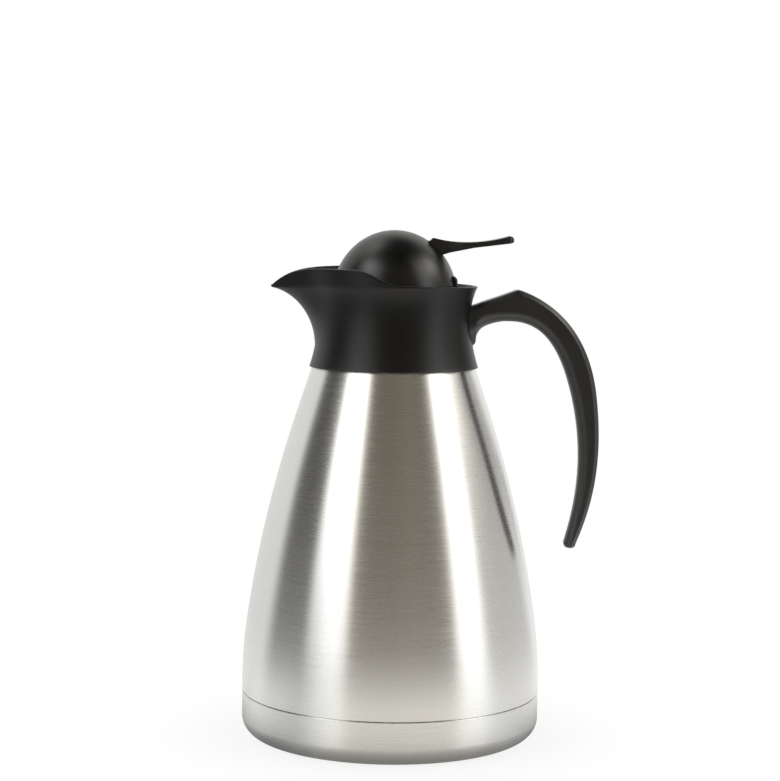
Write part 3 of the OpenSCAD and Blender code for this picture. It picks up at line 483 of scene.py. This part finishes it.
# Spout: underside line from the waist to the tip, with its pulls as (out, up) from waist and rim,
# and how its reach dies away over the angle
spout = {"out": 19.2, "rise": 8.4, "tipDrop": 1.5, "tipLip": 1.3, "rootUp": 10,
         "lowPull": (1.4, -2), "highPull": (10, -4), "spread": 55, "power": 4.1, "keel": 22,
         "keelEdge": 1, "thinner": 1.0, "undercut": 1.8, "crestOut": 20, "levelX": 3, "climb": 1.2,
         "fallPower": 4.5, "fallPast": 0.1}
tipX, tipZ = rimR + spout["out"], collar["rimZ"] - spout["tipDrop"]
rootZ = collar["lipZ"] + spout["rootUp"]
under = np.array([[float(collarR(rootZ)), rootZ],
                  [waistR + spout["lowPull"][0], collar["waistZ"] + spout["lowPull"][1]],
                  [waistR + spout["highPull"][0], collar["rimZ"] + spout["highPull"][1]],
                  [tipX, tipZ]])


# Share of the spout's reach at the angle a from its middle: a power of the rest of the spread,
# rounded in the middle, more so low down than at the rim
def beak(a, t):
    soft = spout["keel"] * (1 - t) + spout["keelEdge"]
    q = np.sqrt(a * a + soft * soft) - soft
    q = q / (np.sqrt(spout["spread"] ** 2 + soft * soft) - soft)
    return np.maximum(1 - q, 0) ** spout["power"]


# Outside radius: the collar's own plus the spout's reach beyond it
def spoutR(a, z, t):
    line = bezier(under, t)
    return collarR(z) + np.maximum(line[..., 0] - collarR(line[..., 1]), 0) * beak(a, t)


# The underside line moved inwards by the wall, which thins towards the tip
def innerLine(t):
    t = np.asarray(t, float)
    way = bezierWay(under, t)
    wall = (collar["wall"] - spout["thinner"] * t ** 4)[..., None]
    thin = np.stack([spout["undercut"] * t ** 3, 0 * t], -1)
    return bezier(under, t) + wall * np.stack([-way[..., 1], way[..., 0]], -1) - thin


# Inside radius: the same with the inner line and the collar's inner side
def bowlR(a, z, t):
    line = innerLine(t)
    reach = np.maximum(line[..., 0] - collarR(line[..., 1]) + collar["wall"], 0)
    return collarR(z) - collar["wall"] + reach * beak(a, t)


# Height of the rim where the wall stands at x: level behind, a cosine swell to the crest, then a
# falling beak
def rimAt(x):
    crestX, levelX, climb = -spout["crestOut"], spout["levelX"], spout["climb"]
    rim, rise = collar["rimZ"], spout["rise"]
    back = rim + climb * np.maximum(rimR - x, 0) / (rimR - levelX)
    turn = 180 * (x - crestX) / (levelX - crestX)
    swell = rim + climb + (rise - climb) * (0.5 + 0.5 * cosine(turn))
    down = np.clip((crestX - x) / (tipX + crestX), 0, 1) ** spout["fallPower"]
    fall = rim + rise - (rise + spout["fallPast"]) * down
    return np.select([x > levelX, x > crestX], [back, swell], fall)


# How the collar's rings stand: share of the crowding at the spout, the lip's and the floor's
# edges as (in, up), and the clearances of its middle hole
bowl = {"half": 130, "crowding": 0.65, "lipEdge": ((0.9, 0), (0.35, 0), (0.1, 0.1), (0.02, 0.35)),
        "floorEdge": ((0.25, 0.12), (0.7, 0)), "floorRound": 0.5, "rimRound": 0.55,
        "rimSquare": 0.6, "rimTurns": (20, 42, 65, 90, 115, 138, 160), "boreRoom": 0.2,
        "neckRoom": 1.3, "neckRoomUp": 3, "wallRoom": 0.3}


# Collar with spout: one grid of rings from the lower lip up the outside, over the rim, down the
# bowl, through the middle hole and back down inside the skirt
def makeCollar():
    s = np.linspace(0, 1, bowl["half"] + 1)
    fold = 180 * ((1 - bowl["crowding"]) * s + bowl["crowding"] * s ** 2)
    a = np.concatenate([fold, (360 - fold[1:-1])[::-1]])
    away = np.minimum(a, 360 - a)
    lipZ, e, atRim = collar["lipZ"], bowl["rimRound"], np.ones(1)

    def ring(r, z):
        return np.stack([-r * cosine(a), -r * sine(a), z + 0 * a], -1)

    # Height and radius of the rim depend on each other, so they are found by repetition
    height = np.full(a.shape, float(collar["rimZ"]))
    for _ in range(8):
        rimX = -spoutR(away, height, atRim) * cosine(away)
        height = np.maximum(rimAt(rimX), tipZ + spout["tipLip"])
    rows = [ring(lipR - inward, lipZ + up) for inward, up in bowl["lipEdge"]]
    rows += [ring(collarR(z), z) for z in lipZ + np.linspace(1, spout["rootUp"] - 0.4, 9)]
    for t in 1 - (1 - np.linspace(0, 1, 34)) ** 1.25:
        z = float(bezier(under, t)[1])
        rows.append(ring(spoutR(away, z, t), z))
    for u in np.linspace(0, 1, 9)[1:]:
        z = tipZ + u * (height - e - tipZ)
        rows.append(ring(spoutR(away, z, atRim), z))
    innerTop = height - e
    outR, inR = spoutR(away, innerTop, atRim), bowlR(away, innerTop, atRim)
    for turn in bowl["rimTurns"]:
        across = np.sign(cosine(turn)) * abs(cosine(turn)) ** bowl["rimSquare"]
        rows.append(ring((outR + inR) / 2 + (outR - inR) / 2 * across,
                         innerTop + e * sine(turn) ** bowl["rimSquare"]))
    lineTop = float(innerLine(1.0)[1])
    for u in np.linspace(1, 0, 9)[:-1]:
        z = lineTop + u * (innerTop - lineTop)
        rows.append(ring(bowlR(away, z, atRim), z))
    ts = np.linspace(0, 1, 400)
    floorT = float(ts[np.argmax(innerLine(ts)[:, 1] > floorZ + bowl["floorRound"])])
    for share in 1 - np.linspace(0, 1, 26):
        t = floorT + (1 - floorT) * share
        z = float(innerLine(t)[1])
        rows.append(ring(bowlR(away, z, t), z))
    foot = bowlR(away, floorZ, floorT)
    rows += [ring(foot - inward, floorZ + up) for inward, up in bowl["floorEdge"]]
    holeR, neckHoleR = boreR + bowl["boreRoom"], neckR + bowl["neckRoom"]
    shoulderZ = flask["shoulderZ"]
    rows += [ring(r, z) for r, z in (
        (holeR, floorZ), (holeR, ledgeZ), (neckHoleR, ledgeZ),
        (neckHoleR, shoulderZ + bowl["neckRoomUp"]), (shoulderR + bowl["wallRoom"], shoulderZ),
        (float(flaskR(lipZ)) + bowl["wallRoom"], lipZ))]
    return settle(makePiece("spoutCollar", np.stack(rows), "loop", 34), "flask",
                  "collar_plastic", "collarPlastic", "spout_collar")


makeCollar()


# Handle: outer and inner line, each of two cubic curves, and the pairs of points of its root, all
# as (reach beyond the waist, drop below the rim); how the curves are walked; and its section
grip = {"outer": [[[22.8, 1.2], [36, 5.2], [56.4, 17.1], [61.3, 50.3]],
                  [[61.3, 50.3], [66.5, 87.3], [59.3, 109.7], [51.8, 127.3]]],
        "inner": [[[11.6, 17.7], [32, 13.2], [41.5, 26.3], [47.2, 44.6]],
                  [[47.2, 44.6], [58.9, 82.3], [50.9, 110.9], [46.1, 127]]],
        "root": [[[-4, 10.9], [-4, 32]], [[2.3, 8.6], [2.1, 28.3]], [[3.5, 8.2], [2.5, 25.5]],
                 [[5, 7.6], [3.4, 23]], [[7.5, 6.7], [5.2, 20.5]], [[12, 5.2], [9, 18.4]],
                 [[17.5, 3.2], [15, 16.9]]],
        "rings": 110, "rootRings": 53, "taperFrom": 56, "outerEnd": 1.955, "innerStart": 0.15,
        "innerPace": 0.9211, "halfW": 8, "tipHalfW": 6.5, "bevel": 2, "bevelSide": 2.5,
        "edge": 0.35, "round": 3.2, "pointH": 9, "pointHalfW": 0.8, "sunk": 0.8, "within": 0.12,
        "noseL": 2.6, "nosePower": 0.7}


# Point on a line of two curves at u from 0 to 2
def gripLine(lines, u):
    first, second = bezier(lines[0], np.minimum(u, 1)), bezier(lines[1], np.maximum(u - 1, 0))
    return np.where((u < 1)[:, None], first, second)


# Smooth values at n places between the knots, by the cubic through four neighbours
def through(knots, n):
    before, after = 2 * knots[:1] - knots[1:2], 2 * knots[-1:] - knots[-2:-1]
    knots = np.concatenate([before, knots, after])
    s = np.linspace(0, len(knots) - 3, n)
    i = np.minimum(s.astype(int), len(knots) - 4)
    t = (s - i).reshape(-1, *[1] * (knots.ndim - 1))
    p0, p1, p2, p3 = knots[i], knots[i + 1], knots[i + 2], knots[i + 3]
    return 0.5 * (2 * p1 + (p2 - p0) * t + (2 * p0 - 5 * p1 + 4 * p2 - p3) * t ** 2
                  + (3 * p1 - p0 - 3 * p2 + p3) * t ** 3)


# A section of eight corners is carried along the middle between outer and inner line, turned with
# them and scaled to their distance
def makeHandle():
    rootRings = grip["rootRings"]
    u = np.linspace(0, grip["outerEnd"], grip["rings"])
    innerU = grip["innerStart"] + u * grip["innerPace"]
    grown = np.stack([gripLine(grip["outer"], u), gripLine(grip["inner"], innerU)], 1)
    root = np.concatenate([np.array(grip["root"]), grown[:1]])
    pairs = np.concatenate([through(root, rootRings + 1)[:-1], grown])
    relax(pairs, 3)
    spots = np.stack([waistR + pairs[..., 0], collar["rimZ"] - pairs[..., 1]], -1)
    outer, inner = spots[:, 0], spots[:, 1]
    gap = np.linalg.norm(outer - inner, axis=-1)
    taper = (np.arange(len(pairs)) - grip["taperFrom"]) / (len(pairs) - grip["taperFrom"])
    half = grip["halfW"] + (grip["tipHalfW"] - grip["halfW"]) * np.clip(taper, 0, 1)
    middle, way = (outer + inner) / 2, (outer - inner) / gap[:, None]
    # The free end: the last section shrinks and moves on along the handle, as a soft nose
    turn = np.linspace(0, 90, 9)[1:-1]
    noseOn = grip["noseL"] * sine(turn)
    ahead = np.array([way[-1, 1], -way[-1, 0]])
    middle = np.concatenate([middle, middle[-1] + noseOn[:, None] * ahead])
    way, gap, half = (np.concatenate([rows, np.repeat(rows[-1:], len(turn), 0)])
                      for rows in (way, gap, half))
    size = np.concatenate([np.ones(len(pairs)), cosine(turn) ** grip["nosePower"]])
    h, v = (gap / 2 - grip["within"]) * size, half * size
    # Bevelled outer edges, softly rounded inner ones that draw together to a wedge at the root
    knot = np.linspace(0, len(grip["root"]), rootRings + 1)[:-1]
    point = np.zeros(len(size))
    point[:rootRings] = np.clip(1 - knot / (len(grip["root"]) - 1), 0, 1)
    b, c, r = grip["bevel"] * size, grip["bevelSide"] * size, grip["round"] * size
    e = r * (1 - point) + grip["pointH"] * point
    t = r * (1 - point) + (v - grip["pointHalfW"]) * point
    corners = np.stack([np.stack(p, -1) for p in (
        (h, v - c), (h - b, v), (e - h, v), (-h, v - t),
        (-h, t - v), (e - h, -v), (h - b, -v), (h, c - v))], 1)
    edge = grip["edge"] + 0 * r
    section = softLoop(corners, np.stack([edge, edge, r, r, r, r, edge, edge], -1), 6)
    x = middle[:, None, 0] + section[..., 0] * way[:, None, 0]
    z = middle[:, None, 1] + section[..., 0] * way[:, None, 1]
    y = section[..., 1]
    # The root is held a little inside the collar's skin
    skin = collarR(np.maximum(z, collar["lipZ"])) - grip["sunk"]
    skin = np.sqrt(np.maximum(skin ** 2 - y ** 2, 1))
    first = int(np.argmax((x > skin).any(1))) - 1
    grid = np.stack([np.maximum(x, skin), y, z], -1)[max(first, 0):]
    return settle(makePiece("gripHandle", grid, "caps", 30), "flask",
                  "handle_plastic", "handlePlastic", "handle")


makeHandle()


# Radius of the dome's ellipse at height z
def domeR(z, inset=0.0):
    rise = (z - domeC) / (dome["halfHeight"] - inset)
    return (domeHalfW - inset) * np.sqrt(np.maximum(1 - rise ** 2, 0))


# A box between two corners, as a closed grid
def boxGrid(low, high):
    (x0, y0, z0), (x1, y1, z1) = low, high
    return np.array([[[x0, y0, z], [x1, y0, z], [x1, y1, z], [x0, y1, z]] for z in (z0, z1)], float)


# Cuts closed grids out of a piece, or joins them to it
def carve(piece, operation, grids, sharp=35):
    for grid in grids:
        tool = makePiece("tool", grid, "caps")
        modifier = piece.modifiers.new("carve", "BOOLEAN")
        modifier.object, modifier.operation, modifier.solver = tool, operation, "EXACT"
        view = bpy.context.evaluated_depsgraph_get()
        done = bpy.data.meshes.new_from_object(piece.evaluated_get(view))
        piece.modifiers.clear()
        piece.data = done
        bpy.data.objects.remove(tool)
    piece.data.set_sharp_from_angle(angle=math.radians(sharp))


# The dome's shell: its lower edge, where its arc starts and ends in degrees, how much closer its
# rings stand at the top, and the room that is cut for the knuckles
cover = {"edgeRound": 0.35, "startTurn": 1.2, "endTurn": 89.7, "crowding": 1.3, "faceIn": 1.0,
         "innerFrom": 0.3, "roomHalfW": 9, "roomFront": 4.2, "roomRear": 6, "roomOver": 0.5}


# Turned outline: half an ellipse outside and a smaller one inside
def makeDome():
    w, e, halfH = dome["wall"], cover["edgeRound"], dome["halfHeight"]
    start = math.degrees(math.asin((domeZ - domeC) / halfH)) + cover["startTurn"]
    share = 1 - (1 - np.linspace(0, 1, 60)) ** cover["crowding"]
    a = start + (cover["endTurn"] - start) * share
    outside = np.stack([domeHalfW * cosine(a), domeC + halfH * sine(a)], -1)
    inside = np.stack([(domeHalfW - w) * cosine(a), domeC + (halfH - w) * sine(a)], -1)[::-1]
    inside = inside[inside[:, 1] > domeZ + cover["innerFrom"]]
    outR = domeR(domeZ)
    edge = [[domeR(domeZ, w) + 0.05, domeZ], [outR - cover["faceIn"], domeZ], [outR - e, domeZ],
            [outR - 0.3 * e, domeZ + 0.1], [domeR(domeZ + e) - 0.02, domeZ + e]]
    outline = np.concatenate([edge, outside, [[0, domeTop], [0, domeTop - w]], inside])
    piece = makePiece("domeLid", turned(outline, 200), "loop", 40)
    side, over = cover["roomHalfW"], hingeZ + hinge["knuckleR"] + cover["roomOver"]
    room = boxGrid((hingeX - cover["roomFront"], -side, domeZ - 1),
                   (hingeX + cover["roomRear"], side, over))
    carve(piece, "DIFFERENCE", [room])
    return settle(piece, "lid", "dome_plastic", "domePlastic", "dome_lid")


makeDome()


# Thumb lever: its upper and lower line as (along, height over the ellipse's middle), along from
# the root or from the tip, and its section
lever = {"rootShare": 22.9 / 30.4, "reach": 26.9, "hidden": [(-6.2, 27.8), (-4.6, 29.3)],
         "thumbRoot": [(0, 28.3), (10.1, 26.5)], "thumbTip": [(-13, 27.2), (-2, 30.5)],
         "bellyRoot": [(-0.9, 20.9), (4, 22.4), (15, 24.7)], "bellyTip": (-1.6, 30.2),
         "tip": 3.2, "startBack": 7, "noseL": 2, "noseDown": 2.0, "noseUp": 1.2, "noseOpen": 0.98,
         "width": 15, "rootHalfW": 5.4, "widenL": 14, "corner": 3, "bevel": 0.45, "sunk": 0.5}


# A rounded box section across, between the two lines, with a root that is sunk in the dome
def makeLever():
    topX, tip = lever["rootShare"] * domeHalfW, domeHalfW + lever["reach"]
    noseL, c = lever["noseL"], lever["corner"]
    thumb = [[topX + x, z] for x, z in lever["thumbRoot"]]
    thumb += [[tip + x, z] for x, z in lever["thumbTip"]]
    belly = [[topX + x, z] for x, z in lever["bellyRoot"]]
    belly += [[tip + lever["bellyTip"][0], lever["bellyTip"][1] - lever["tip"]]]
    t = 1 - (1 - np.linspace(0, 1, 70)) ** 1.15
    top = np.concatenate([[[topX + x, z] for x, z in lever["hidden"]], bezier(thumb, t)])
    x = np.concatenate([np.linspace(topX - lever["startBack"], topX, 12)[:-1],
                        np.linspace(topX, tip - noseL, 60),
                        tip - noseL + noseL * sine(np.linspace(0, 84, 9)[1:])])
    high = np.interp(x, top[:, 0], top[:, 1])
    low = np.interp(x, [b[0] for b in belly], [b[1] for b in belly])
    # The nose: high and low close up as a quarter of an ellipse
    nose = np.clip((x - (tip - noseL)) / noseL, 0, 1)
    closed = 1 - np.sqrt(1 - nose ** 2 * lever["noseOpen"])
    high, low = high - lever["noseDown"] * closed, low + lever["noseUp"] * closed
    grown = 0.5 - 0.5 * cosine(180 * np.clip((x - topX) / lever["widenL"], 0, 1))
    wide = lever["rootHalfW"] + (lever["width"] / 2 - lever["rootHalfW"]) * grown
    half = wide - c + np.sqrt(np.maximum(c * c - np.maximum(x - (tip - c), 0) ** 2, 0.02))
    middle, h = (high + low) / 2, (high - low) / 2
    corners = np.stack([np.stack(p, -1) for p in (
        (half, -h), (half, h), (-half, h), (-half, -h))], 1)
    section = softLoop(corners, np.full((len(x), 4), lever["bevel"]), 4)
    y, z = section[..., 0], domeC + middle[:, None] + section[..., 1]
    inside = np.sqrt(np.maximum((domeR(z) - lever["sunk"]) ** 2 - y ** 2, 1))
    grid = np.stack([np.maximum(x[:, None] + 0 * y, inside), y, z], -1)
    return settle(makePiece("thumbLever", grid, "caps", 32), "lid",
                  "lever_plastic", "leverPlastic", "thumb_lever")


makeLever()


# Ring under the dome: turned wall with rounded edges, three pour windows in front, and behind
# them two blind lugs that hide the ends of the hinge pin and a groove for the spring's leg
pourRing = {"edge": 0.35, "foot": 0.2, "skin": 0.02, "windowTurns": (-28, 0, 28), "windowW": 6.4,
            "windowH": 5.8, "windowUp": 0.4, "spigot": 1, "windowOut": 1, "windowIn": 7,
            "lugGap": 0.2, "lugCap": 0.4, "lugRound": 1.3, "lugDrop": 6, "lugStart": 0.15,
            "groove": ((-1.15, -2.7, -9), (3, -1.7, 1))}


# Lug: a half circle on a stem, carried along Y, with a quarter circle at its outer end
def makeStopperRing():
    e, inR, outR = pourRing["edge"], ringR - stopper["ringWall"], ringR - pourRing["skin"]
    z0 = seatZ + pourRing["skin"]
    outline = softLoop([[inR, z0], [outR, z0], [outR, ringZ], [inR, ringZ]],
                       [pourRing["foot"], pourRing["foot"], e, e], 4)
    piece = makePiece("stopperRing", turned(outline, 160), "loop", 40)
    near = hinge["springW"] / 2 + pourRing["lugGap"] + hinge["knuckleW"] + hinge["gap"]
    far, k = near + hinge["knuckleW"] + pourRing["lugCap"], hinge["knuckleR"]
    soft, start, stemZ = pourRing["lugRound"], pourRing["lugStart"], ringZ - pourRing["lugDrop"]
    turn = np.linspace(0, 90, 8)
    inset = np.concatenate([[start, 0], soft * (1 - cosine(turn))])[:, None]
    on = np.concatenate([[near, near + start], far - soft + soft * sine(turn)])[:, None]
    over = np.linspace(0, 180, 25)
    across = np.concatenate([[1], cosine(over), [-1]])
    up = np.concatenate([[stemZ], 0 * over + hingeZ, [stemZ]])
    rise = np.concatenate([[0], sine(over), [0]])
    lug = np.stack([hingeX + (k - inset) * across, on + 0 * across, up + (k - inset) * rise], -1)
    carve(piece, "UNION", [lug, (lug * [1, -1, 1])[:, ::-1]])
    low, side = seatZ + pourRing["spigot"] + pourRing["windowUp"], pourRing["windowW"] / 2
    window = boxGrid((-ringR - pourRing["windowOut"], -side, low),
                     (pourRing["windowIn"] - ringR, side, low + pourRing["windowH"]))
    x, y, z = (window[..., k] for k in range(3))
    cuts = [np.stack([x * cosine(a) - y * sine(a), x * sine(a) + y * cosine(a), z], -1)
            for a in pourRing["windowTurns"]]
    groove = [np.array([ringR, 0, hingeZ]) + corner for corner in pourRing["groove"]]
    carve(piece, "DIFFERENCE", cuts + [boxGrid(*groove)], 40)
    return settle(piece, "stopper", "collar_plastic", "collarPlastic", "stopper_ring")


makeStopperRing()


# Tube of radius r along a path: a circle is carried square to the path's direction
def tube(path, r, n=12):
    way = np.gradient(path, axis=0)
    way /= np.linalg.norm(way, axis=1, keepdims=True)
    side = np.cross([0.0, 1.0, 0.0], way)
    side /= np.linalg.norm(side, axis=1, keepdims=True)
    up, a = np.cross(way, side), np.linspace(0, 360, n, endpoint=False)[:, None]
    return path[:, None] + r * (cosine(a) * side[:, None] + sine(a) * up[:, None])


# Torsion spring: wire, turns and clearances; the leg below the coil; and for the leg on the plate
# the bend after the coil and the two places inside the plate's edge
spring = {"wire": 0.6, "turns": 4.25, "pinRoom": 0.25, "sideRoom": 0.4, "legFrom": 8,
          "legTo": 0.6, "bendX": -1.6, "bendUp": 0.2, "overPlate": 0.15, "legIn": (2.6, 9)}


# A leg in the ring's groove, a helix round the pin, a leg on the plate, as one tube
def makeSpring():
    wire = spring["wire"]
    r = hinge["pinR"] + spring["pinRoom"] + wire / 2
    w = hinge["springW"] - wire - spring["sideRoom"]
    a = np.linspace(0, 360 * spring["turns"], 140)
    coil = np.stack([hingeX + r * cosine(a), w * (a / a[-1] - 0.5), hingeZ + r * sine(a)], -1)
    down = np.linspace(spring["legFrom"], spring["legTo"], 12)[:, None]
    legA = np.array([hingeX + r, -w / 2, hingeZ]) - down * [0, 0, 1]
    legZ = plateTop + wire / 2 + spring["overPlate"]
    ends = [coil[-1], np.array([hingeX + spring["bendX"], w / 2, hingeZ + r + spring["bendUp"]])]
    ends += [np.array([plateR - inward, w / 2, legZ]) for inward in spring["legIn"]]
    share = np.linspace(0, 1, 9)[1:, None]
    legB = np.concatenate([p + (q - p) * share for p, q in zip(ends, ends[1:])])
    path = np.concatenate([legA, coil, legB])
    relax(path[-len(legB) - 4:], 2)
    piece = settle(makePiece("lidSpring", tube(path, wire / 2), "caps", 50), None,
                   "spring_steel", "springSteel", "lid_spring")
    start, end = ((hingeX * toMetres, side * w / 2 * toMetres, hingeZ * toMetres)
                  for side in (-1, 1))
    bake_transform(piece)


makeSpring()


# Silicone rings, each a rounded section between two radii and two heights that is carried round
# the axis
def makeSeal(name, body, node, inR, outR, z0, z1):
    soft = 0.32 * (z1 - z0)
    outline = softLoop([[inR, z0], [outR, z0], [outR, z1], [inR, z1]], soft, 5)
    return settle(makePiece(name, turned(outline, 120), "loop", 60), body,
                  "silicone", "silicone", node)


# Clearances of the seals, what lies between bore and barrel, and the pour seal's own sizes
seal = {"boreGap": 0.3, "neckGap": 0.2, "barrelGap": 0.5, "ringGap": 0.3, "sleeveGap": 0.4,
        "sleeve": 1.3, "thread": 1.5, "threadGap": 0.4, "studR": 2.25, "pourR": 12.6,
        "belowLip": (12.5, 10.7)}
barrelR = boreR - seal["sleeveGap"] - seal["sleeve"] - seal["thread"] - seal["threadGap"]
makeSeal("neckSeal", "flask", "neck_gasket",
         boreR + seal["boreGap"], neckR - seal["neckGap"], lipTop, ledgeZ)
makeSeal("stopperSeal", "seal", "stopper_seal",
         barrelR + seal["barrelGap"], ringR - seal["ringGap"], flangeZ - stopper["seal"], flangeZ)
makeSeal("pourSeal", "lid", "lid_gasket",
         seal["studR"], seal["pourR"], *(lipTop - drop for drop in seal["belowLip"]))


# Nodes that keep their CAD shape and get a better finish
keptFinishes = {
    "shell_bottom": "innerSteel", "vacuum_seal": "solder", "getter": "getterAlloy",
    "inner_flask": "innerSteel", "inner_bottom": "innerSteel", "neck_ring": "innerPlastic",
    "handle_screws": "screwSteel", "stopper_body": "innerPlastic", "hinge_pin": "screwSteel",
    "lid_plate": "innerPlastic", "lid_plug": "innerPlastic", "lever_screw": "screwSteel"}
for nodeName, finishName in keptFinishes.items():
    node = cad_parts[nodeName]
    node.data.materials.clear()
    node.data.materials.append(finishes[finishName])
print("kept nodes finished:", len(keptFinishes))


# Studio: a round wall of soft panels and the table round the carafe, as metal and plastic see
# them. Each stop is (azimuth from the camera's side, positive towards +X; level high up; level at
# the horizon; level of the table near the foot; warmth). Each lamp is a soft spot (azimuth,
# elevation, two spreads, level). The dark streak is (azimuth, elevation, slope, width, depth).
# Then come the distances between which the foot's painted shadow in the table's glow goes from its
# level to none, and shadow the same for the table's share of plain white to the camera
studio = {"radius": 1400, "foot": 100, "fade": 12, "top": 75, "ceiling": (46, 64), "least": 0.01,
          "tint": (0.12, -0.2), "tableTint": 0.3,
          "stops": [(-180, 0.85, 0.76, 0.80, 0.1), (-113, 0.85, 0.82, 0.92, 0.1),
                    (-107, 0.0, 0.55, 1.0, 0.2), (-100, 0.0, 0.19, 1.1, 0.3),
                    (-71, 0.0, 0.19, 1.1, 0.3), (-64.5, 2.3, 0.24, 1.0, 0.0),
                    (-57, 2.3, 0.42, 0.95, 0.0), (-52, 2.3, 0.75, 0.95, 0.0),
                    (-42, 2.3, 1.0, 1.05, 0.0), (-36.5, 2.3, 0.70, 1.1, 0.2),
                    (-31, 0.14, 0.17, 1.25, 1.1), (0, 0.15, 0.165, 1.25, 1.1),
                    (20, 0.18, 0.18, 1.27, 1.1), (40, 0.15, 0.17, 1.27, 1.0),
                    (48.5, 0.15, 0.17, 1.25, 0.9), (54, 2.2, 1.05, 1.3, 0.2),
                    (60, 2.2, 1.35, 1.25, 0.0), (73, 2.2, 1.25, 1.15, 0.0),
                    (81, 0.42, 0.55, 1.05, 0.4), (130, 0.60, 0.62, 1.0, 0.2),
                    (142, 1.05, 1.0, 0.97, 0.1), (180, 0.85, 0.76, 0.80, 0.1)],
          "streak": (122, 14, 1.72, 5, 0.98), "streakTop": 20, "streakFoot": -3,
          "lamps": [(-120, 62, 36, 10, 2.0), (-71, 46, 16, 8.5, 4.4), (91, 41, 16, 9.5, 5.4),
                    (180, 52, 50, 14, 0.2), (-180, 52, 50, 14, 0.2)],
          "tableNear": 160, "tableFar": 650, "paintedShadeSpan": (70, 140), "paintedShadeLevel": 0.2,
          "plain": (0.86, 0.86, 0.855, 1), "shadow": (0.072, 0.12), "shadowShare": 0.86}


# A column of the stops at azimuth a, in straight lines between them
def studioAt(a, column):
    stops = np.array(studio["stops"])
    return np.interp(a, stops[:, 0], stops[:, column])


# Colour of a level: more red and less blue by the warmth at azimuth a
def tinted(level, a, share=1.0):
    warmth, (red, blue) = share * studioAt(a, 4), studio["tint"]
    return level[..., None] * np.stack([1 + red * warmth, 1 + 0 * warmth, 1 + blue * warmth,
                                        1 / level], -1)


# The wall at azimuth a and elevation e: its level sinks to the horizon's within a few degrees and
# fades out high up, where the lamps hang; a dark slanting streak crosses it on the right
def wallLight(a, e):
    high, horizon = studioAt(a, 1), studioAt(a, 2)
    level = high + (horizon - high) * np.exp(-np.maximum(e, 0) / studio["fade"])
    low, top = studio["ceiling"]
    level = level * (0.5 + 0.5 * cosine(180 * np.clip((e - low) / (top - low), 0, 1)))
    place, height, slope, width, depth = studio["streak"]
    off = a - place - slope * (height - np.minimum(e, studio["streakTop"]))
    level = level * (1 - depth * np.exp(-(off / width) ** 2) * (e > studio["streakFoot"]))
    for lampA, lampE, wide, tall, power in studio["lamps"]:
        level = level + power * np.exp(-((a - lampA) / wide) ** 2 - ((e - lampE) / tall) ** 2)
    return tinted(level + studio["least"], a)


# The table's glow at azimuth a and distance d: a painted shadow where the foot stands on it, and a
# smooth step in the distance's logarithm from its own level to the horizon's
def tableLight(a, d):
    nearD, farD = studio["tableNear"], studio["tableFar"]
    t = np.clip(np.log(d / nearD) / math.log(farD / nearD), 0, 1)
    near, horizon = studioAt(a, 3), studioAt(a, 2)
    level = near + (horizon - near) * t * t * (3 - 2 * t)
    # Painted shadow: the glow that metal and plastic see is darkened close to the foot
    shade = np.interp(d, studio["paintedShadeSpan"], (studio["paintedShadeLevel"], 1))
    return tinted(level * shade, a, studio["tableTint"])


# Open mesh from a grid of points, with a colour at each point that its material gives off
def glowingMesh(name, points, colours):
    mesh = bpy.data.meshes.new(name)
    faces = gridFaces(*points.shape[:2], False).tolist()
    mesh.from_pydata((points.reshape(-1, 3) * toMetres).tolist(), [], faces)
    glow = mesh.attributes.new("glow", "FLOAT_COLOR", "POINT")
    glow.data.foreach_set("color", colours.astype(np.float32).ravel())
    lit = bpy.data.objects.new(name, mesh)
    scene.collection.objects.link(lit)
    return lit


# What glows with the mesh's own colours
def glowOf(m):
    return m.glow(m.add("ShaderNodeAttribute", {"attribute_name": "glow"}, None, "Color"))


# Wall and ceiling are one dome that lights the carafe but isn't seen by the camera
def makeStudioWall():
    r, top = studio["radius"], studio["top"]
    e = np.concatenate([[-4.0], np.linspace(0, top, 60), [89.9]])
    a, e = np.meshgrid(np.linspace(180, -180, 361)[:-1], e)
    z = np.maximum(studio["foot"] + r * np.tan(np.radians(np.minimum(e, top))), 0)
    out = np.where(e > top, 1.0, r)
    points = np.stack([out * sine(a), -out * cosine(a), z], -1)
    wall = glowingMesh("studioWall", points, wallLight(a, e))
    wall.visible_camera = wall.visible_shadow = False
    m = newFinish("studioWall")
    wall.data.materials.append(m.finish(glowOf(m)))


# Table: plain white to the camera, with the carafe's shadow kept close to its foot
def makeTable():
    d = np.concatenate([[0.5, 40, 60], np.linspace(66, 84, 10), np.geomspace(90, 12000, 60)])
    a, d = np.meshgrid(np.linspace(-180, 180, 361)[:-1], d)
    points = np.stack([d * sine(a), -d * cosine(a), 0 * a], -1)
    table = glowingMesh("table", points, tableLight(a, d))
    m = newFinish("table")
    spot = m.add("ShaderNodeTexCoord", out="Object")
    away = m.add("ShaderNodeVectorMath", {"operation": "LENGTH"}, {0: spot}, "Value")
    seen, glossy, clear = (m.add("ShaderNodeLightPath", out=f"Is {kind} Ray")
                           for kind in ("Camera", "Glossy", "Transmission"))
    plain = m.add("ShaderNodeBsdfDiffuse", None, {"Color": studio["plain"]})
    lit = m.add("ShaderNodeMixShader", None,
                {0: glossy.maths("MAXIMUM", clear), 1: plain, 2: glowOf(m)})
    share = seen * m.spread(away, *studio["shadow"], studio["shadowShare"], 1.0)
    table.data.materials.append(m.finish(m.add(
        "ShaderNodeMixShader", None, {0: share, 1: lit, 2: m.glow((1, 1, 1, 1))})))


makeStudioWall()
makeTable()

world = bpy.data.worlds.new("studio")
scene.world = world
w = Maker(world)
w.finish(w.add("ShaderNodeBackground", None, {"Color": (1, 1, 1, 1), "Strength": 1.0}),
         "ShaderNodeOutputWorld")
print("studio lit")
